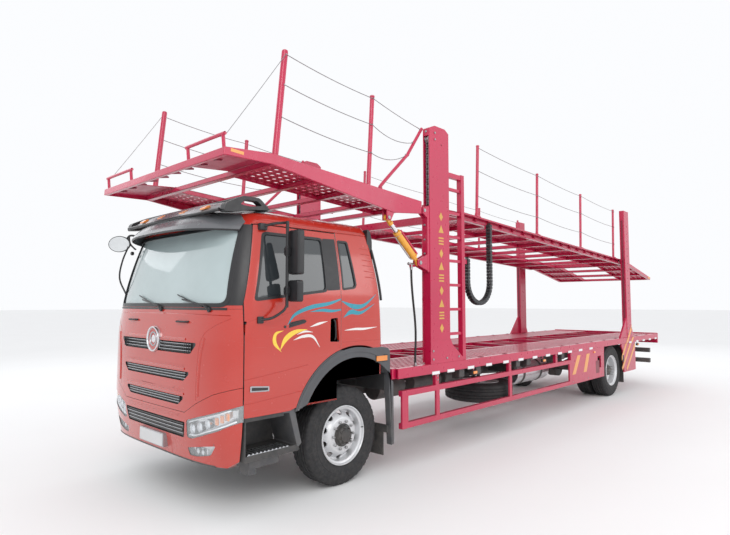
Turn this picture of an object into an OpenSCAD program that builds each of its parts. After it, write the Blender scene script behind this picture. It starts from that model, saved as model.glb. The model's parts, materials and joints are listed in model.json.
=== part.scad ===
/* [Overall] */
// Length over the front platform and the rear cross beam
overall_length = 12000; // [11400:10:13000]
// Width over the decks
overall_width = 2550; // [2400:10:2600]
// Front axle behind the foremost point
front_overhang = 1560; // [1500:10:1700]
// Front axle to rear axle
wheelbase = 7500; // [7100:10:8300]

/* [Wheels] */
// Tyre outer radius
tyre_radius = 505; // [430:1:507]
// Tyre width
tyre_width = 276; // [230:1:290]
// Rim flange radius
rim_radius = 300; // [280:1:320]
// Front tyre centre from the centreline
front_tyre_x = 995; // [980:1:1020]
// Outer rear tyre centre from the centreline
rear_tyre_x = 1072; // [1050:1:1080]
// Distance between the twin tyre centres
twin_spacing = 310; // [300:1:330]
// Spindle radius
spindle_radius = 40; // [30:1:45]
// Number of hand holes in a rim
hand_holes = 10; // [6:1:12]

/* [Chassis] */
// Frame rail outer width over both rails
frame_width = 860; // [800:10:900]
// Frame rail depth
rail_depth = 270; // [230:5:290]
// Frame rail flange width
rail_flange = 80; // [60:5:90]
// Frame rail plate thickness
rail_plate = 10; // [6:1:12]
// Kingpin axis from the centreline
kingpin_x = 850; // [830:1:870]
// Kingpin radius
kingpin_radius = 22; // [16:1:26]
// Leaf spring width
spring_width = 90; // [70:5:100]

/* [Lower deck] */
// Underside of the deck above the ground
deck_bottom = 1020; // [1020:5:1150]
// Depth of the side channels
deck_depth = 115; // [90:5:160]
// Width of the side channels
deck_channel = 80; // [60:5:100]
// Front end of the deck behind the front axle
deck_front = 700; // [700:10:760]
// Inner edge of each wheel track
track_inner = 480; // [440:10:560]
// Distance between cross members
cross_pitch = 700; // [500:10:900]

/* [Towers and posts] */
// Front face of the front towers behind the front axle
tower_front = 1310; // [1300:5:1400]
// Length of a front tower along the truck
tower_depth = 408; // [300:1:440]
// Width of a tower
tower_width = 100; // [80:1:110]
// Height of the tower tops
tower_top = 4080; // [3900:10:4150]
// Front face of the rear posts behind the front axle
post_front = 8280; // [8250:10:8500]
// Length of a rear post along the truck
post_depth = 280; // [200:5:300]
// Height of the rear post tops
post_top = 3860; // [3700:10:3950]

/* [Front upper deck] */
// Hinge of the front deck behind the front axle
tilt_hinge_y = 1215; // [1205:1:1240]
// Hinge of the front deck above the ground
tilt_hinge_z = 2990; // [2950:5:3050]
// Slope of the front deck, rising to the front
front_slope = 3.6; // [2:0.1:5]
// Length of the flat nose of the front deck
nose_length = 495; // [400:5:600]

/* [Rear upper deck] */
// Front end of the rear deck behind the front axle
rear_deck_front = 2180; // [2160:5:2300]
// Top of the rear deck at its front end
rear_deck_top = 3110; // [3000:5:3150]
// Slope of the rear deck, falling to the rear
rear_slope = 2.7; // [0:0.1:4]
// Half width of the rear deck
rear_deck_half = 1150; // [1080:5:1155]
// Length of the rear deck
rear_deck_length = 6560; // [6400:10:6700]
// Length of the tail flap
flap_length = 1700; // [1400:10:1710]
// Angle of the tail flap below the deck line
flap_droop = 7.5; // [0:0.5:12]
// Height of the fence posts
fence_height = 1040; // [800:10:1100]

/* [Cab] */
// Width of the cab
cab_width = 2450; // [2350:10:2460]
// Thickness of the cab walls
cab_wall = 45; // [35:1:60]
// Gap round the doors
door_gap = 10; // [8:1:14]
// Thickness of a door
door_thickness = 55; // [45:1:60]
// Front edge of the doors, ahead of the front axle
door_front = 1285; // [1270:1:1300]
// Rear edge of the doors, ahead of the front axle
door_rear = 140; // [120:1:160]
// Glass thickness
glass_thickness = 6; // [4:1:8]
// Wheel arch radius in the cab side
arch_radius = 870; // [840:5:890]

/* [Hidden] */
$fn = 48;

running_fit = 0.05;
seat_gap = 0.3;
side_x = overall_width / 2;
front_axle_y = front_overhang - overall_length / 2;
rear_end = overall_length - front_overhang;
deck_top = deck_bottom + deck_depth;
rail_top = deck_bottom - 20;
frame_x = frame_width / 2;
tower_rear = tower_front + tower_depth;
tower_inner = side_x - tower_width;
post_rear = post_front + post_depth;

// Red shades of the structure and the cab
deck_red = [0.78, 0.12, 0.24];
cab_red = [0.80, 0.16, 0.10];
dark_grey = [0.13, 0.13, 0.14];
steel_grey = [0.55, 0.56, 0.58];

// All Y values below are distances behind the front axle
module at_axle() { translate([0, front_axle_y, 0]) children(); }

module both_sides() {
    children();
    mirror([1, 0, 0]) children();
}

module block(low, high) {
    translate(low) cube(high - low);
}

// Outline of (y, z) points extruded from x0 to x1
module side_plate(x0, x1, points) {
    translate([x0, 0, 0]) rotate([90, 0, 90]) linear_extrude(x1 - x0) polygon(points);
}

// Outline of (x, z) points extruded from y0 to y1
module cross_plate(y0, y1, points) {
    translate([0, y1, 0]) rotate([90, 0, 0]) linear_extrude(y1 - y0) polygon(points);
}

module x_cylinder(radius, x0, x1, y, z) {
    translate([x0, y, z]) rotate([0, 90, 0]) cylinder(r = radius, h = x1 - x0);
}

module z_cylinder(radius, x, y, z0, z1) {
    translate([x, y, z0]) cylinder(r = radius, h = z1 - z0);
}

// Round bar between two points
module bar(from, to, radius) {
    run = to - from;
    flat = norm([run[0], run[1]]);
    translate(from)
        rotate([0, atan2(flat, run[2]), atan2(run[1], run[0])])
            cylinder(r = radius, h = norm(run));
}

// ---------------------------------------------------------------- chassis

rail_front = -1050;
rail_rear = rear_end - 400;
rail_bottom = rail_top - rail_depth;
cross_member_low = rail_top - 130;
cross_member_ys = [-900, 1000, 2600, 4200, 5800, 6700, 8300, rail_rear - 40];
tow_eye_y = rail_rear + 80;
tow_eye_z = rail_top - 80;
tow_eye_radius = 25;
tow_eye_plate = 40;

module frame_rails() {
    color(dark_grey) at_axle() {
        both_sides() difference() {
            block([frame_x - rail_flange, rail_front, rail_bottom], [frame_x, rail_rear, rail_top]);
            block(
                [frame_x - rail_flange - 1, rail_front - 1, rail_bottom + rail_plate],
                [frame_x - rail_plate, rail_rear + 1, rail_top - rail_plate]
            );
        }
        for (y = cross_member_ys)
            block(
                [-frame_x + rail_plate, y - 40, cross_member_low],
                [frame_x - rail_plate, y + 40, rail_top - rail_plate]
            );
        difference() {
            union() {
                z_cylinder(60, 0, tow_eye_y, tow_eye_z, tow_eye_z + tow_eye_plate);
                block([-60, rail_rear, tow_eye_z], [60, tow_eye_y, tow_eye_z + tow_eye_plate]);
            }
            z_cylinder(tow_eye_radius, 0, tow_eye_y, tow_eye_z - 1, tow_eye_z + tow_eye_plate + 1);
        }
    }
}

axle_z = tyre_radius;
eye_radius = 50;
eye_half = 80;
ear_gap = 5;
ear_thickness = 30;
spring_x = frame_x - rail_flange / 2;
spring_thickness = 110;
front_spring_z = axle_z + 40;
rear_spring_z = axle_z + 95;

module front_axle() {
    beam = [
        [kingpin_x, axle_z + 45], [700, axle_z - 40], [560, axle_z - 60], [-560, axle_z - 60],
        [-700, axle_z - 40], [-kingpin_x, axle_z + 45], [-kingpin_x, axle_z - 45],
        [-740, axle_z - 130], [-600, axle_z - 160], [600, axle_z - 160], [740, axle_z - 130],
        [kingpin_x, axle_z - 45]
    ];
    color(dark_grey) at_axle() {
        difference() {
            union() {
                cross_plate(-45, 45, beam);
                both_sides()
                    z_cylinder(eye_radius, kingpin_x, 0, axle_z - eye_half, axle_z + eye_half);
            }
            both_sides()
                z_cylinder(
                    kingpin_radius + running_fit, kingpin_x, 0,
                    axle_z - eye_half - 1, axle_z + eye_half + 1
                );
        }
        both_sides()
            block(
                [spring_x - spring_width / 2, -60, axle_z - 60],
                [spring_x + spring_width / 2, 60, front_spring_z]
            );
    }
}

rear_stub_x = rear_tyre_x + 60;

module rear_axle() {
    color(dark_grey) translate([0, front_axle_y + wheelbase, 0]) {
        x_cylinder(70, -560, 560, 0, axle_z);
        both_sides() x_cylinder(spindle_radius, 560, rear_stub_x, 0, axle_z);
        x_cylinder(205, -95, 95, 0, axle_z);
        translate([0, -330, axle_z]) rotate([-90, 0, 0]) cylinder(r = 80, h = 250);
        both_sides()
            block(
                [spring_x - spring_width / 2, -58, axle_z + 15],
                [spring_x + spring_width / 2, 58, rear_spring_z]
            );
    }
}

// Spring pack with its eyes, and a hanger at each end up to the rail
module spring_pack(y, half_length, z) {
    x0 = spring_x - spring_width / 2;
    x1 = spring_x + spring_width / 2;
    leaves = [
        [y - half_length, rail_bottom - 35], [y - half_length * 0.5, z + 55], [y, z + spring_thickness],
        [y + half_length * 0.5, z + 55], [y + half_length, rail_bottom - 35],
        [y + half_length, rail_bottom - 60], [y + half_length * 0.6, z + 25], [y + 150, z],
        [y - 150, z], [y - half_length * 0.6, z + 25], [y - half_length, rail_bottom - 60]
    ];
    side_plate(x0, x1, leaves);
    for (end = [-1, 1])
        block(
            [x0, y + end * half_length - 50, rail_bottom - 100],
            [x1, y + end * half_length + 50, rail_bottom]
        );
}

front_spring_half = 800;
rear_spring_half = 830;

module leaf_springs() {
    color(dark_grey) at_axle() both_sides() {
        spring_pack(0, front_spring_half, front_spring_z);
        spring_pack(wheelbase, rear_spring_half, rear_spring_z);
    }
}

engine_half_width = frame_x - rail_flange - 10;
gearbox_rear = 860;
shaft_z = rail_bottom;

// Engine and gearbox as one plain block on its mounts
module engine() {
    color(steel_grey) at_axle() {
        block([-engine_half_width, -820, rail_bottom + 30], [engine_half_width, 420, rail_top + 90]);
        block([-200, 420, rail_bottom - 60], [200, gearbox_rear, rail_top - 60]);
        both_sides()
            block([engine_half_width, -300, rail_top - 120], [frame_x - rail_plate, -200, rail_top - 60]);
    }
}

module prop_shaft() {
    start = [0, gearbox_rear + 1, shaft_z];
    middle = [0, 4200, rail_bottom - 40];
    end = [0, wheelbase - 334, axle_z];
    color(dark_grey) at_axle() {
        bar(start, middle, 55);
        bar(middle, end, 55);
        translate(middle) sphere(r = 80);
        block([-60, 4160, rail_bottom - 60], [60, 4240, cross_member_low]);
    }
}

// ---------------------------------------------------------------- cab

cab_half = cab_width / 2;
cab_floor = 1150;
panel_split = 1020;
screen_low = 1820;
screen_high = 2600;
cab_rear = 500;
cab_roof = 2755;
arch_y = 80;
arch_z = 560;
nose_depth = 450;
nose_power = 4;

// Front face, side face and rear face of the cab at a height
function cab_front_at(z) = lookup(z, [
    [450, -1470], [900, -1525], [1500, -1520], [screen_low, -1480], [screen_high, -1290],
    [cab_roof - 55, -1240], [cab_roof, -1130]
]);
function cab_half_at(z) = lookup(z, [
    [450, cab_half - 20], [900, cab_half], [1850, cab_half], [2560, cab_half - 105],
    [cab_roof - 55, cab_half - 165], [cab_roof, cab_half - 330]
]);
function cab_rear_at(z) = lookup(z, [
    [450, cab_rear], [1450, cab_rear], [2560, cab_rear - 110], [cab_roof - 55, cab_rear - 150],
    [cab_roof, cab_rear - 260]
]);

// Plan outline of the cab at a height, drawn in by a wall thickness
function nose_point(angle, half, front) = [
    half * sign(sin(angle)) * pow(abs(sin(angle)), 2 / nose_power),
    front + nose_depth - nose_depth * pow(max(cos(angle), 0), 2 / nose_power)
];
function cab_outline(z, inset) =
    let (half = cab_half_at(z) - inset, front = cab_front_at(z) + inset, rear = cab_rear_at(z) - inset)
    concat(
        [for (angle = [-90:10:90]) nose_point(angle, half, front)],
        [[half, rear - 60], [half - 60, rear], [60 - half, rear], [-half, rear - 60]]
    );

cab_levels = [450, 900, 1500, 1850, 2300, 2600, cab_roof - 55, cab_roof - 15, cab_roof];

// Closed body of the cab, drawn in by a wall thickness
module cab_body(inset) {
    hull()
        for (z = cab_levels)
            translate([0, 0, min(z, cab_roof - inset - 1)])
                linear_extrude(1) polygon(cab_outline(z, inset));
}

// Skin of the cab between two depths under the surface
module cab_skin(outer, inner) {
    difference() {
        cab_body(outer);
        cab_body(inner);
        block([-cab_half, -2000, 400], [cab_half, 2000, 452 + inner]);
    }
}

// Door outline in the side view, grown by a gap
arch_steps = 8;
function arch_point(angle, radius) = [arch_y + radius * cos(angle), arch_z + radius * sin(angle)];
function door_outline(gap) = concat(
    [
        [-door_front - gap, 880 - gap], [-door_front - gap, 1880], [-1120 - gap * 1.4, 2590 + gap],
        [-door_rear + gap, 2590 + gap]
    ],
    [for (step = [0:arch_steps]) arch_point(105 + step * 52 / arch_steps, arch_radius - gap)],
    [[-800, 880 - gap]]
);
door_window = [[-1190, 1895], [-1050, 2520], [-330, 2520], [-330, 1990]];
quarter_window = [[-110, 2010], [-110, 2515], [25, 2515], [85, 2060], [60, 2030]];

module cab_side_cut(points, low_x = 600) {
    both_sides() side_plate(low_x, cab_half + 50, points);
}

screen_outline = [
    [-1090, screen_low + 30], [-1010, screen_high - 20], [1010, screen_high - 20],
    [1090, screen_low + 30]
];

module arch_cut(radius, x0, x1) {
    x_cylinder(radius, x0, x1, arch_y, arch_z);
}

panel_rear_edge = -door_front - door_gap;
hinge_x = cab_half - 34;
hinge_y = -door_front + 24;
hinge_heights = [1090, 1650];
arch_cut_x = 1000;
hinge_pin = 8;

lug_root = hinge_x - 91;
lug_radius = 12;

// Hinge pin between two lugs that reach out from the pillar
module hinge_lug(z) {
    z_cylinder(hinge_pin, hinge_x, hinge_y, z - 50, z + 50);
    for (end = [-1, 1]) {
        z_cylinder(lug_radius, hinge_x, hinge_y, z + end * 45 - 6, z + end * 45 + 6);
        block([lug_root - 10, hinge_y - 12, z + end * 45 - 6], [hinge_x, hinge_y + 12, z + end * 45 + 6]);
    }
    block([lug_root - 18, panel_rear_edge - 24, z - 51], [lug_root, hinge_y + 14, z + 51]);
}

// Ring inside the front of the cab that carries the front panel and the hinges
module front_pillars() {
    intersection() {
        difference() {
            cab_body(40 + 2 * seat_gap);
            block([-lug_root + 20, -2000, 0], [lug_root - 20, 2000, screen_low - 60]);
        }
        block([-2000, panel_rear_edge - 45, panel_split], [2000, panel_rear_edge - 2, screen_low]);
    }
}

module cab_shell() {
    color(cab_red) at_axle() {
        difference() {
            union() {
                difference() {
                    cab_skin(0, cab_wall);
                    block([-2000, -2000, 400], [2000, panel_rear_edge, screen_low]);
                    block([-2000, -1700, 400], [2000, 700, 905]);
                    cross_plate(-1700, -1100, screen_outline);
                }
                block([1 - cab_half + 40, -1240, cab_floor - 50], [cab_half - 41, cab_rear - 30, cab_floor]);
            }
            cab_side_cut(door_outline(door_gap), 880);
            cab_side_cut(quarter_window);
            both_sides() arch_cut(arch_radius, arch_cut_x, cab_half + 50);
            block([-2000, -200, 400], [2000, 700, cab_floor - 50]);
            cross_plate(300, 600, [[-700, 1900], [-640, 2450], [640, 2450], [700, 1900]]);
        }
        both_sides() for (z = hinge_heights) hinge_lug(z);
        front_pillars();
        both_sides() block([frame_x - rail_flange, -1040, rail_top], [frame_x, -940, cab_floor - 50]);
        both_sides() block([frame_x - rail_flange, 300, rail_top], [frame_x, 400, cab_floor - 50]);
    }
}

grille_bands = [[1085, 1205], [1245, 1365], [1405, 1500]];
emblem_z = 1500;
emblem_radius = 95;

module front_panel() {
    color(cab_red) at_axle() difference() {
        cab_skin(0, 40);
        block([-2000, -2000, 400], [2000, -1000, panel_split]);
        block([-2000, panel_rear_edge, 400], [2000, 2000, 3000]);
        block([-2000, -2000, screen_low - 2], [2000, 2000, 3000]);
        for (band = grille_bands)
            cross_plate(-1700, -1300, [
                [-780, band[0] + 60], [-760, band[1]], [760, band[1]], [780, band[0] + 60],
                [700, band[0]], [-700, band[0]]
            ]);
        translate([0, -1700, emblem_z]) rotate([-90, 0, 0]) cylinder(r = emblem_radius + seat_gap, h = 400);
    }
}

module grille() {
    color(dark_grey) at_axle() {
        intersection() {
            cab_skin(40 + seat_gap, 60);
            block([-840, -2000, 1040], [840, -1300, 1560]);
        }
        for (band = grille_bands)
            for (z = [band[0] + 22 : 26 : band[1] - 10])
                intersection() {
                    cab_skin(12, 42);
                    block([-700, -2000, z], [700, -1300, z + 10]);
                }
    }
    color(steel_grey) at_axle()
        translate([0, cab_front_at(emblem_z) - 22, emblem_z]) rotate([-90, 0, 0]) difference() {
            cylinder(r = emblem_radius, h = 70);
            translate([0, 0, -1]) cylinder(r = emblem_radius - 20, h = 16);
        }
}

fog_outline = [[640, 500], [620, 590], [900, 600], [900, 520]];
lamp_outline = [[560, 780], [520, 700], [900, 690], [1240, 760], [1240, 985], [1150, 960], [800, 850]];

module bumper() {
    color(cab_red) at_axle() difference() {
        intersection() {
            cab_skin(0, 60);
            block([-2000, -2000, 455], [2000, panel_rear_edge, panel_split - 4]);
        }
        cross_plate(-1700, -1300, [[-500, 860], [500, 860], [440, 720], [-440, 720]]);
        both_sides() cross_plate(-1700, -1200, lamp_outline);
        both_sides() cross_plate(-1700, -1300, fog_outline);
        both_sides() cross_plate(-1700, -1200, [[1010, 400], [1240, 560], [1240, 400]]);
    }
    color(dark_grey) at_axle() {
        block([-frame_x, -1420, rail_bottom + 40], [frame_x, rail_front, rail_bottom + 160]);
        both_sides() block([440, -1440, 600], [500, -1380, 840]);
        block([-1000, -1440, 640], [1000, -1395, 690]);
        block([-520, -1430, 690], [520, -1400, 900]);
    }
}

module headlamps() {
    color([0.85, 0.87, 0.9]) at_axle() both_sides() {
        intersection() {
            cab_skin(4, 60);
            cross_plate(-1700, panel_rear_edge, lamp_outline);
        }
        intersection() {
            cab_skin(6, 60);
            cross_plate(-1700, -1300, fog_outline);
        }
    }
}

module cab_glass() {
    color([0.2, 0.25, 0.27, 0.5]) at_axle() {
        intersection() {
            cab_skin(12, 12 + glass_thickness);
            cross_plate(-1700, -1100, screen_outline);
        }
        intersection() {
            cab_skin(10, 10 + glass_thickness);
            cab_side_cut(quarter_window);
        }
    }
}

visor_profile = [
    [-1350, 2650], [-1555, 2560], [-1545, 2600], [-1400, 2720], [-1250, 2790], [-1100, 2800],
    [-1060, cab_roof], [-1110, cab_roof], [-1240, cab_roof + 3]
];
rack_z = 2860;

module sun_visor() {
    color([0.35, 0.36, 0.38]) at_axle() {
        side_plate(-960, 960, visor_profile);
        both_sides() side_plate(930, 1020, [
            [-1400, 2660], [-1440, 2650], [-1420, 2740], [-1180, rack_z], [-900, rack_z],
            [-820, 2756], [-900, 2756], [-960, 2800], [-1160, 2800], [-1250, 2745]
        ]);
        x_cylinder(22, -960, 960, -1190, rack_z - 20);
        x_cylinder(22, -960, 960, -1400, 2710);
        for (x = [-480, 0, 480])
            bar([x, -1190, rack_z - 20], [x, -1190, 2780], 16);
    }
}

wheel_x = 560;
wheel_y = -780;
wheel_z = 1780;
wheel_lean = -32;
column_length = 300;

module on_column() { translate([wheel_x, wheel_y, wheel_z]) rotate([wheel_lean, 0, 0]) children(); }

dash_front = panel_rear_edge + 5;

module dashboard() {
    color([0.2, 0.2, 0.21]) at_axle() difference() {
        side_plate(-1080, 1080, [
            [dash_front, cab_floor], [dash_front, 1790], [-1240, 1790], [-1000, 1720], [-900, 1560],
            [-1000, 1400], [-1180, 1350], [-1200, cab_floor]
        ]);
        on_column() translate([0, 0, -column_length]) cylinder(r = 30 + seat_gap, h = column_length);
    }
}

module seat(x, half) {
    block([x - half + 40, -500, cab_floor], [x + half - 40, -60, cab_floor + 250]);
    side_plate(x - half, x + half, [
        [-580, 1400], [-600, 1500], [-560, 1530], [-80, 1510], [-60, 2160], [-30, 2200], [30, 2200],
        [60, 2170], [80, 1500], [20, 1400]
    ]);
    side_plate(x - 130, x + 130, [[-30, 2200], [-50, 2400], [-10, 2430], [40, 2420], [40, 2200]]);
}

module seats() {
    color([0.3, 0.3, 0.32]) at_axle() {
        seat(560, 250);
        seat(-500, 420);
    }
}

module steering_wheel() {
    color([0.1, 0.1, 0.1]) at_axle() on_column() {
        rotate_extrude() translate([215, 0]) circle(r = 16);
        for (angle = [90, 210, 330])
            rotate([0, 0, angle]) translate([0, -18, -8]) cube([215, 36, 14]);
        cylinder(r = 60, h = 40, center = true);
        translate([0, 0, -column_length]) cylinder(r = 30, h = column_length);
    }
}

module cab_steps() {
    color(dark_grey) at_axle() both_sides() {
        side_plate(820, cab_half - 35, [
            [-1270, 520], [-1270, 868], [-880, 868], [-760, 780], [-700, 560], [-710, 520]
        ]);
        side_plate(cab_half - 35, cab_half - 5, [
            [-1270, 520], [-1270, 560], [-700, 560], [-710, 520]
        ]);
        side_plate(cab_half - 35, cab_half - 5, [
            [-1270, 820], [-1270, 868], [-880, 868], [-850, 820]
        ]);
        block([frame_x, -1180, 780], [820, -1100, 840]);
        block([frame_x, -900, 780], [820, -830, 840]);
    }
}

arch_inner = 700;
skirt_rear = 632;

// Arch liner round each front wheel, with its rear skirt and mud flap, and the rear flaps
module mudguards() {
    color(dark_grey) at_axle() both_sides() {
        difference() {
            x_cylinder(arch_radius - door_gap, arch_cut_x + 5, cab_half - 8, arch_y, arch_z, $fn = 180);
            x_cylinder(arch_inner, arch_cut_x, cab_half, arch_y - 20, arch_z - 40, $fn = 180);
            block([600, -2000, -500], [1300, 2000, 800]);
            block([600, skirt_rear, -500], [1300, 2000, 2000]);
        }
        block([700, skirt_rear - 40, 440], [cab_half - 8, skirt_rear, 1230]);
        block([frame_x, skirt_rear - 40, 900], [700, skirt_rear, 980]);
        block([760, skirt_rear - 25, 180], [1120, skirt_rear - 13, 440]);
        block([780, wheelbase + 640, 200], [side_x - 60, wheelbase + 652, deck_bottom]);
    }
}

// ---------------------------------------------------------------- lower deck

beam_drop = 110;
deck_cross_ys = [for (y = [deck_front + 50 : cross_pitch : rear_end - 200]) y];

module deck_track(x0, x1, y0, y1) {
    block([x0, y0, deck_top - 14], [x1, y1, deck_top - 6]);
}

module lower_deck() {
    color(deck_red) at_axle() {
        both_sides() {
            block([side_x - deck_channel, deck_front, deck_bottom], [side_x, rear_end - 60, deck_top]);
            deck_track(track_inner, side_x - deck_channel, deck_front, rear_end - 60);
            block([track_inner - 60, deck_front, deck_top - 70], [track_inner, rear_end - 60, deck_top - 6]);
            block([frame_x - rail_flange, deck_front, rail_top], [frame_x, rear_end - 60, deck_top - 60]);
        }
        for (y = deck_cross_ys)
            block(
                [deck_channel - side_x - 10, y - 30, deck_top - 80],
                [side_x - deck_channel + 10, y + 30, deck_top - 10]
            );
        block([-side_x, rear_end - 60, deck_bottom - beam_drop], [side_x, rear_end, deck_top + 15]);
        block([-side_x + 40, deck_front - 60, deck_bottom], [side_x - 40, deck_front + 30, deck_top]);
    }
}

seam_z = 1400;
foot_length = 295;
hinge_radius = 20;
cylinder_pin_y = 1130;
cylinder_pin_z = 2350;
cylinder_x = side_x - 50;

module front_towers() {
    color(deck_red) at_axle() both_sides() {
        difference() {
            side_plate(tower_inner, side_x, [
                [tower_front, deck_top], [tower_front, tower_top - 50], [tower_front + 110, tower_top],
                [tower_rear - 80, tower_top], [tower_rear, tower_top - 45], [tower_rear, seam_z + 30],
                [tower_rear + 60, seam_z - 60], [tower_rear + foot_length, deck_top + 30],
                [tower_rear + foot_length, deck_top]
            ]);
            block(
                [tower_inner + 12, tower_front - 1, 3060],
                [side_x - 12, tower_front + 60, tower_top - 140]
            );
        }
        // Carriage with the deck hinge ears and the cylinder clevis
        difference() {
            union() {
                block([tower_inner + 8, tilt_hinge_y + 55, 2250], [side_x - 8, tower_front, 3040]);
                for (x = [side_x - 90, side_x - 30])
                    side_plate(x, x + 20, [
                        [tilt_hinge_y - 35, 2960], [tilt_hinge_y - 35, 3020], [tilt_hinge_y + 60, 3040],
                        [tilt_hinge_y + 60, 2900]
                    ]);
                for (x = [side_x - 90, side_x - 30])
                    side_plate(x, x + 20, [
                        [cylinder_pin_y - 45, 2320], [cylinder_pin_y - 45, 2380],
                        [tilt_hinge_y + 60, 2460], [tilt_hinge_y + 60, 2260]
                    ]);
            }
            x_cylinder(hinge_radius + running_fit, side_x - 95, side_x - 5, tilt_hinge_y, tilt_hinge_z);
        }
        x_cylinder(hinge_radius, side_x - 71, side_x - 29, cylinder_pin_y, cylinder_pin_z);
        // Clip of the lift hose
        block([side_x - 95, 1020, 2300], [side_x - 70, cylinder_pin_y - 30, 2335]);
    }
}

module rear_posts() {
    color(deck_red) at_axle() both_sides() {
        block([tower_inner, post_front, deck_top], [side_x, post_rear, post_top]);
        side_plate(side_x - 50, side_x - 10, [
            [post_front - 400, deck_top], [post_front, deck_top + 420], [post_front, deck_top]
        ]);
        side_plate(side_x - 50, side_x - 10, [
            [post_rear, deck_top], [post_rear, deck_top + 300], [post_rear + 160, deck_top]
        ]);
    }
}

ladder_rear = 2090;
ladder_top = 3560;
rung_pitch = 310;
rung_heights = [for (z = [deck_top + 345 : rung_pitch : ladder_top - 200]) z];

module ladder() {
    x = side_x - 50;
    color(deck_red) at_axle() {
        block([x - 35, ladder_rear - 70, deck_top], [x + 35, ladder_rear, ladder_top]);
        block([x - 30, tower_rear, ladder_top - 70], [x + 30, ladder_rear - 70, ladder_top - 10]);
        for (z = rung_heights)
            block([x - 18, tower_rear, z - 18], [x + 18, ladder_rear - 70, z + 18]);
        // Bracket of the drag chain's fixed end
        block(
            [chain_x - 20, ladder_rear, chain_low + 230],
            [chain_x + 20, chain_front - chain_depth / 2, chain_low + 290]
        );
    }
}

guard_front = 770;
guard_rear = 6900;
guard_solid = 5350;
guard_bottom = 455;
guard_top = 880;
guard_posts = [1450, 3240, 4800];
guard_windows = [
    [guard_front + 110, guard_posts[0] - 35], [guard_posts[0] + 35, guard_posts[1] - 35],
    [guard_posts[1] + 35, guard_solid - 60]
];

module side_guards() {
    x0 = side_x - 60;
    color(deck_red) at_axle() both_sides() {
        difference() {
            side_plate(x0, side_x, [
                [guard_front, guard_bottom], [guard_front, guard_top], [guard_solid, guard_top],
                [guard_solid, deck_bottom], [guard_rear + 20, deck_bottom], [guard_rear, deck_bottom - 120],
                [guard_rear - 10, guard_bottom]
            ]);
            for (span = guard_windows)
                block([x0 - 1, span[0], guard_bottom + 65], [side_x + 1, span[1], guard_top - 65]);
            block([x0 - 1, guard_front - 1, guard_bottom + 65], [x0 + 30, guard_rear + 30, guard_top - 65]);
            block([x0 - 1, guard_rear - 330, 640], [side_x + 1, guard_rear - 160, 860]);
        }
        for (y = guard_posts)
            block([x0, y - 35, guard_top], [x0 + 50, y + 35, deck_bottom]);
    }
}

panel_front = wheelbase + 530;
panel_rear = 8800;
panel_bottom = 420;

module rear_panels() {
    color(deck_red) at_axle() both_sides()
        side_plate(side_x - 45, side_x - 15, [
            [panel_front + 40, panel_bottom], [panel_front, deck_bottom - 150],
            [panel_front - 90, deck_bottom - 60], [panel_front - 90, deck_bottom],
            [panel_rear, deck_bottom], [panel_rear, panel_bottom]
        ]);
}

tank_radius = 185;
tank_front = 4050;
tank_length = 1100;
tank_straps = [tank_front + 200, tank_front + tank_length - 200];

module fuel_tank() {
    x = 785;
    z = rail_top - 270;
    color([0.75, 0.76, 0.78]) at_axle() {
        translate([x, tank_front, z]) rotate([-90, 0, 0]) cylinder(r = tank_radius, h = tank_length);
        for (y = tank_straps)
            block([frame_x, y - 30, z + 40], [x - 60, y + 30, z + 120]);
    }
    color(dark_grey) at_axle() for (y = tank_straps)
        translate([x, y - 25, z]) rotate([-90, 0, 0]) difference() {
            cylinder(r = tank_radius + 8, h = 50);
            translate([0, 0, -1]) cylinder(r = tank_radius, h = 52);
        }
}

// ---------------------------------------------------------------- wheels

tyre_outline = [
    [rim_radius - 14, -tyre_width * 0.40], [rim_radius, -tyre_width * 0.40],
    [rim_radius, -tyre_width * 0.42], [rim_radius + 40, -tyre_width * 0.46],
    [tyre_radius - 130, -tyre_width * 0.50], [tyre_radius - 60, -tyre_width * 0.48],
    [tyre_radius - 18, -tyre_width * 0.42], [tyre_radius, -tyre_width * 0.34],
    [tyre_radius, tyre_width * 0.34], [tyre_radius - 18, tyre_width * 0.42],
    [tyre_radius - 60, tyre_width * 0.48], [tyre_radius - 130, tyre_width * 0.50],
    [rim_radius + 40, tyre_width * 0.46], [rim_radius, tyre_width * 0.42],
    [rim_radius, tyre_width * 0.40], [rim_radius - 14, tyre_width * 0.40]
];

// Tyre round the local Z axis
module tyre() {
    color([0.09, 0.09, 0.1]) rotate_extrude($fn = 96) polygon(tyre_outline);
}

barrel_inner = rim_radius - 50;
half_barrel = tyre_width * 0.40;
drum_radius = 205;
hub_radius = 110;

// Rim barrel and dished disc round local Z; the disc stands at dish height
module rim_disc(dish) {
    rotate_extrude($fn = 96) polygon([
        [rim_radius - 14, -half_barrel], [rim_radius, -half_barrel], [rim_radius, -half_barrel - 12],
        [barrel_inner + 20, -half_barrel - 12], [barrel_inner, -half_barrel + 40],
        [barrel_inner, dish - 26], [150, dish - 14], [hub_radius - 10, dish - 14], [hub_radius - 10, dish],
        [160, dish], [barrel_inner, dish - 6], [barrel_inner, half_barrel - 40],
        [barrel_inner + 20, half_barrel + 12], [rim_radius, half_barrel + 12], [rim_radius, half_barrel],
        [rim_radius - 14, half_barrel]
    ]);
}

module hand_hole_cut(dish) {
    for (index = [0 : hand_holes - 1])
        rotate([0, 0, index * 360 / hand_holes])
            translate([205, 0, dish - 60]) cylinder(r = 24, h = 100);
}

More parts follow.
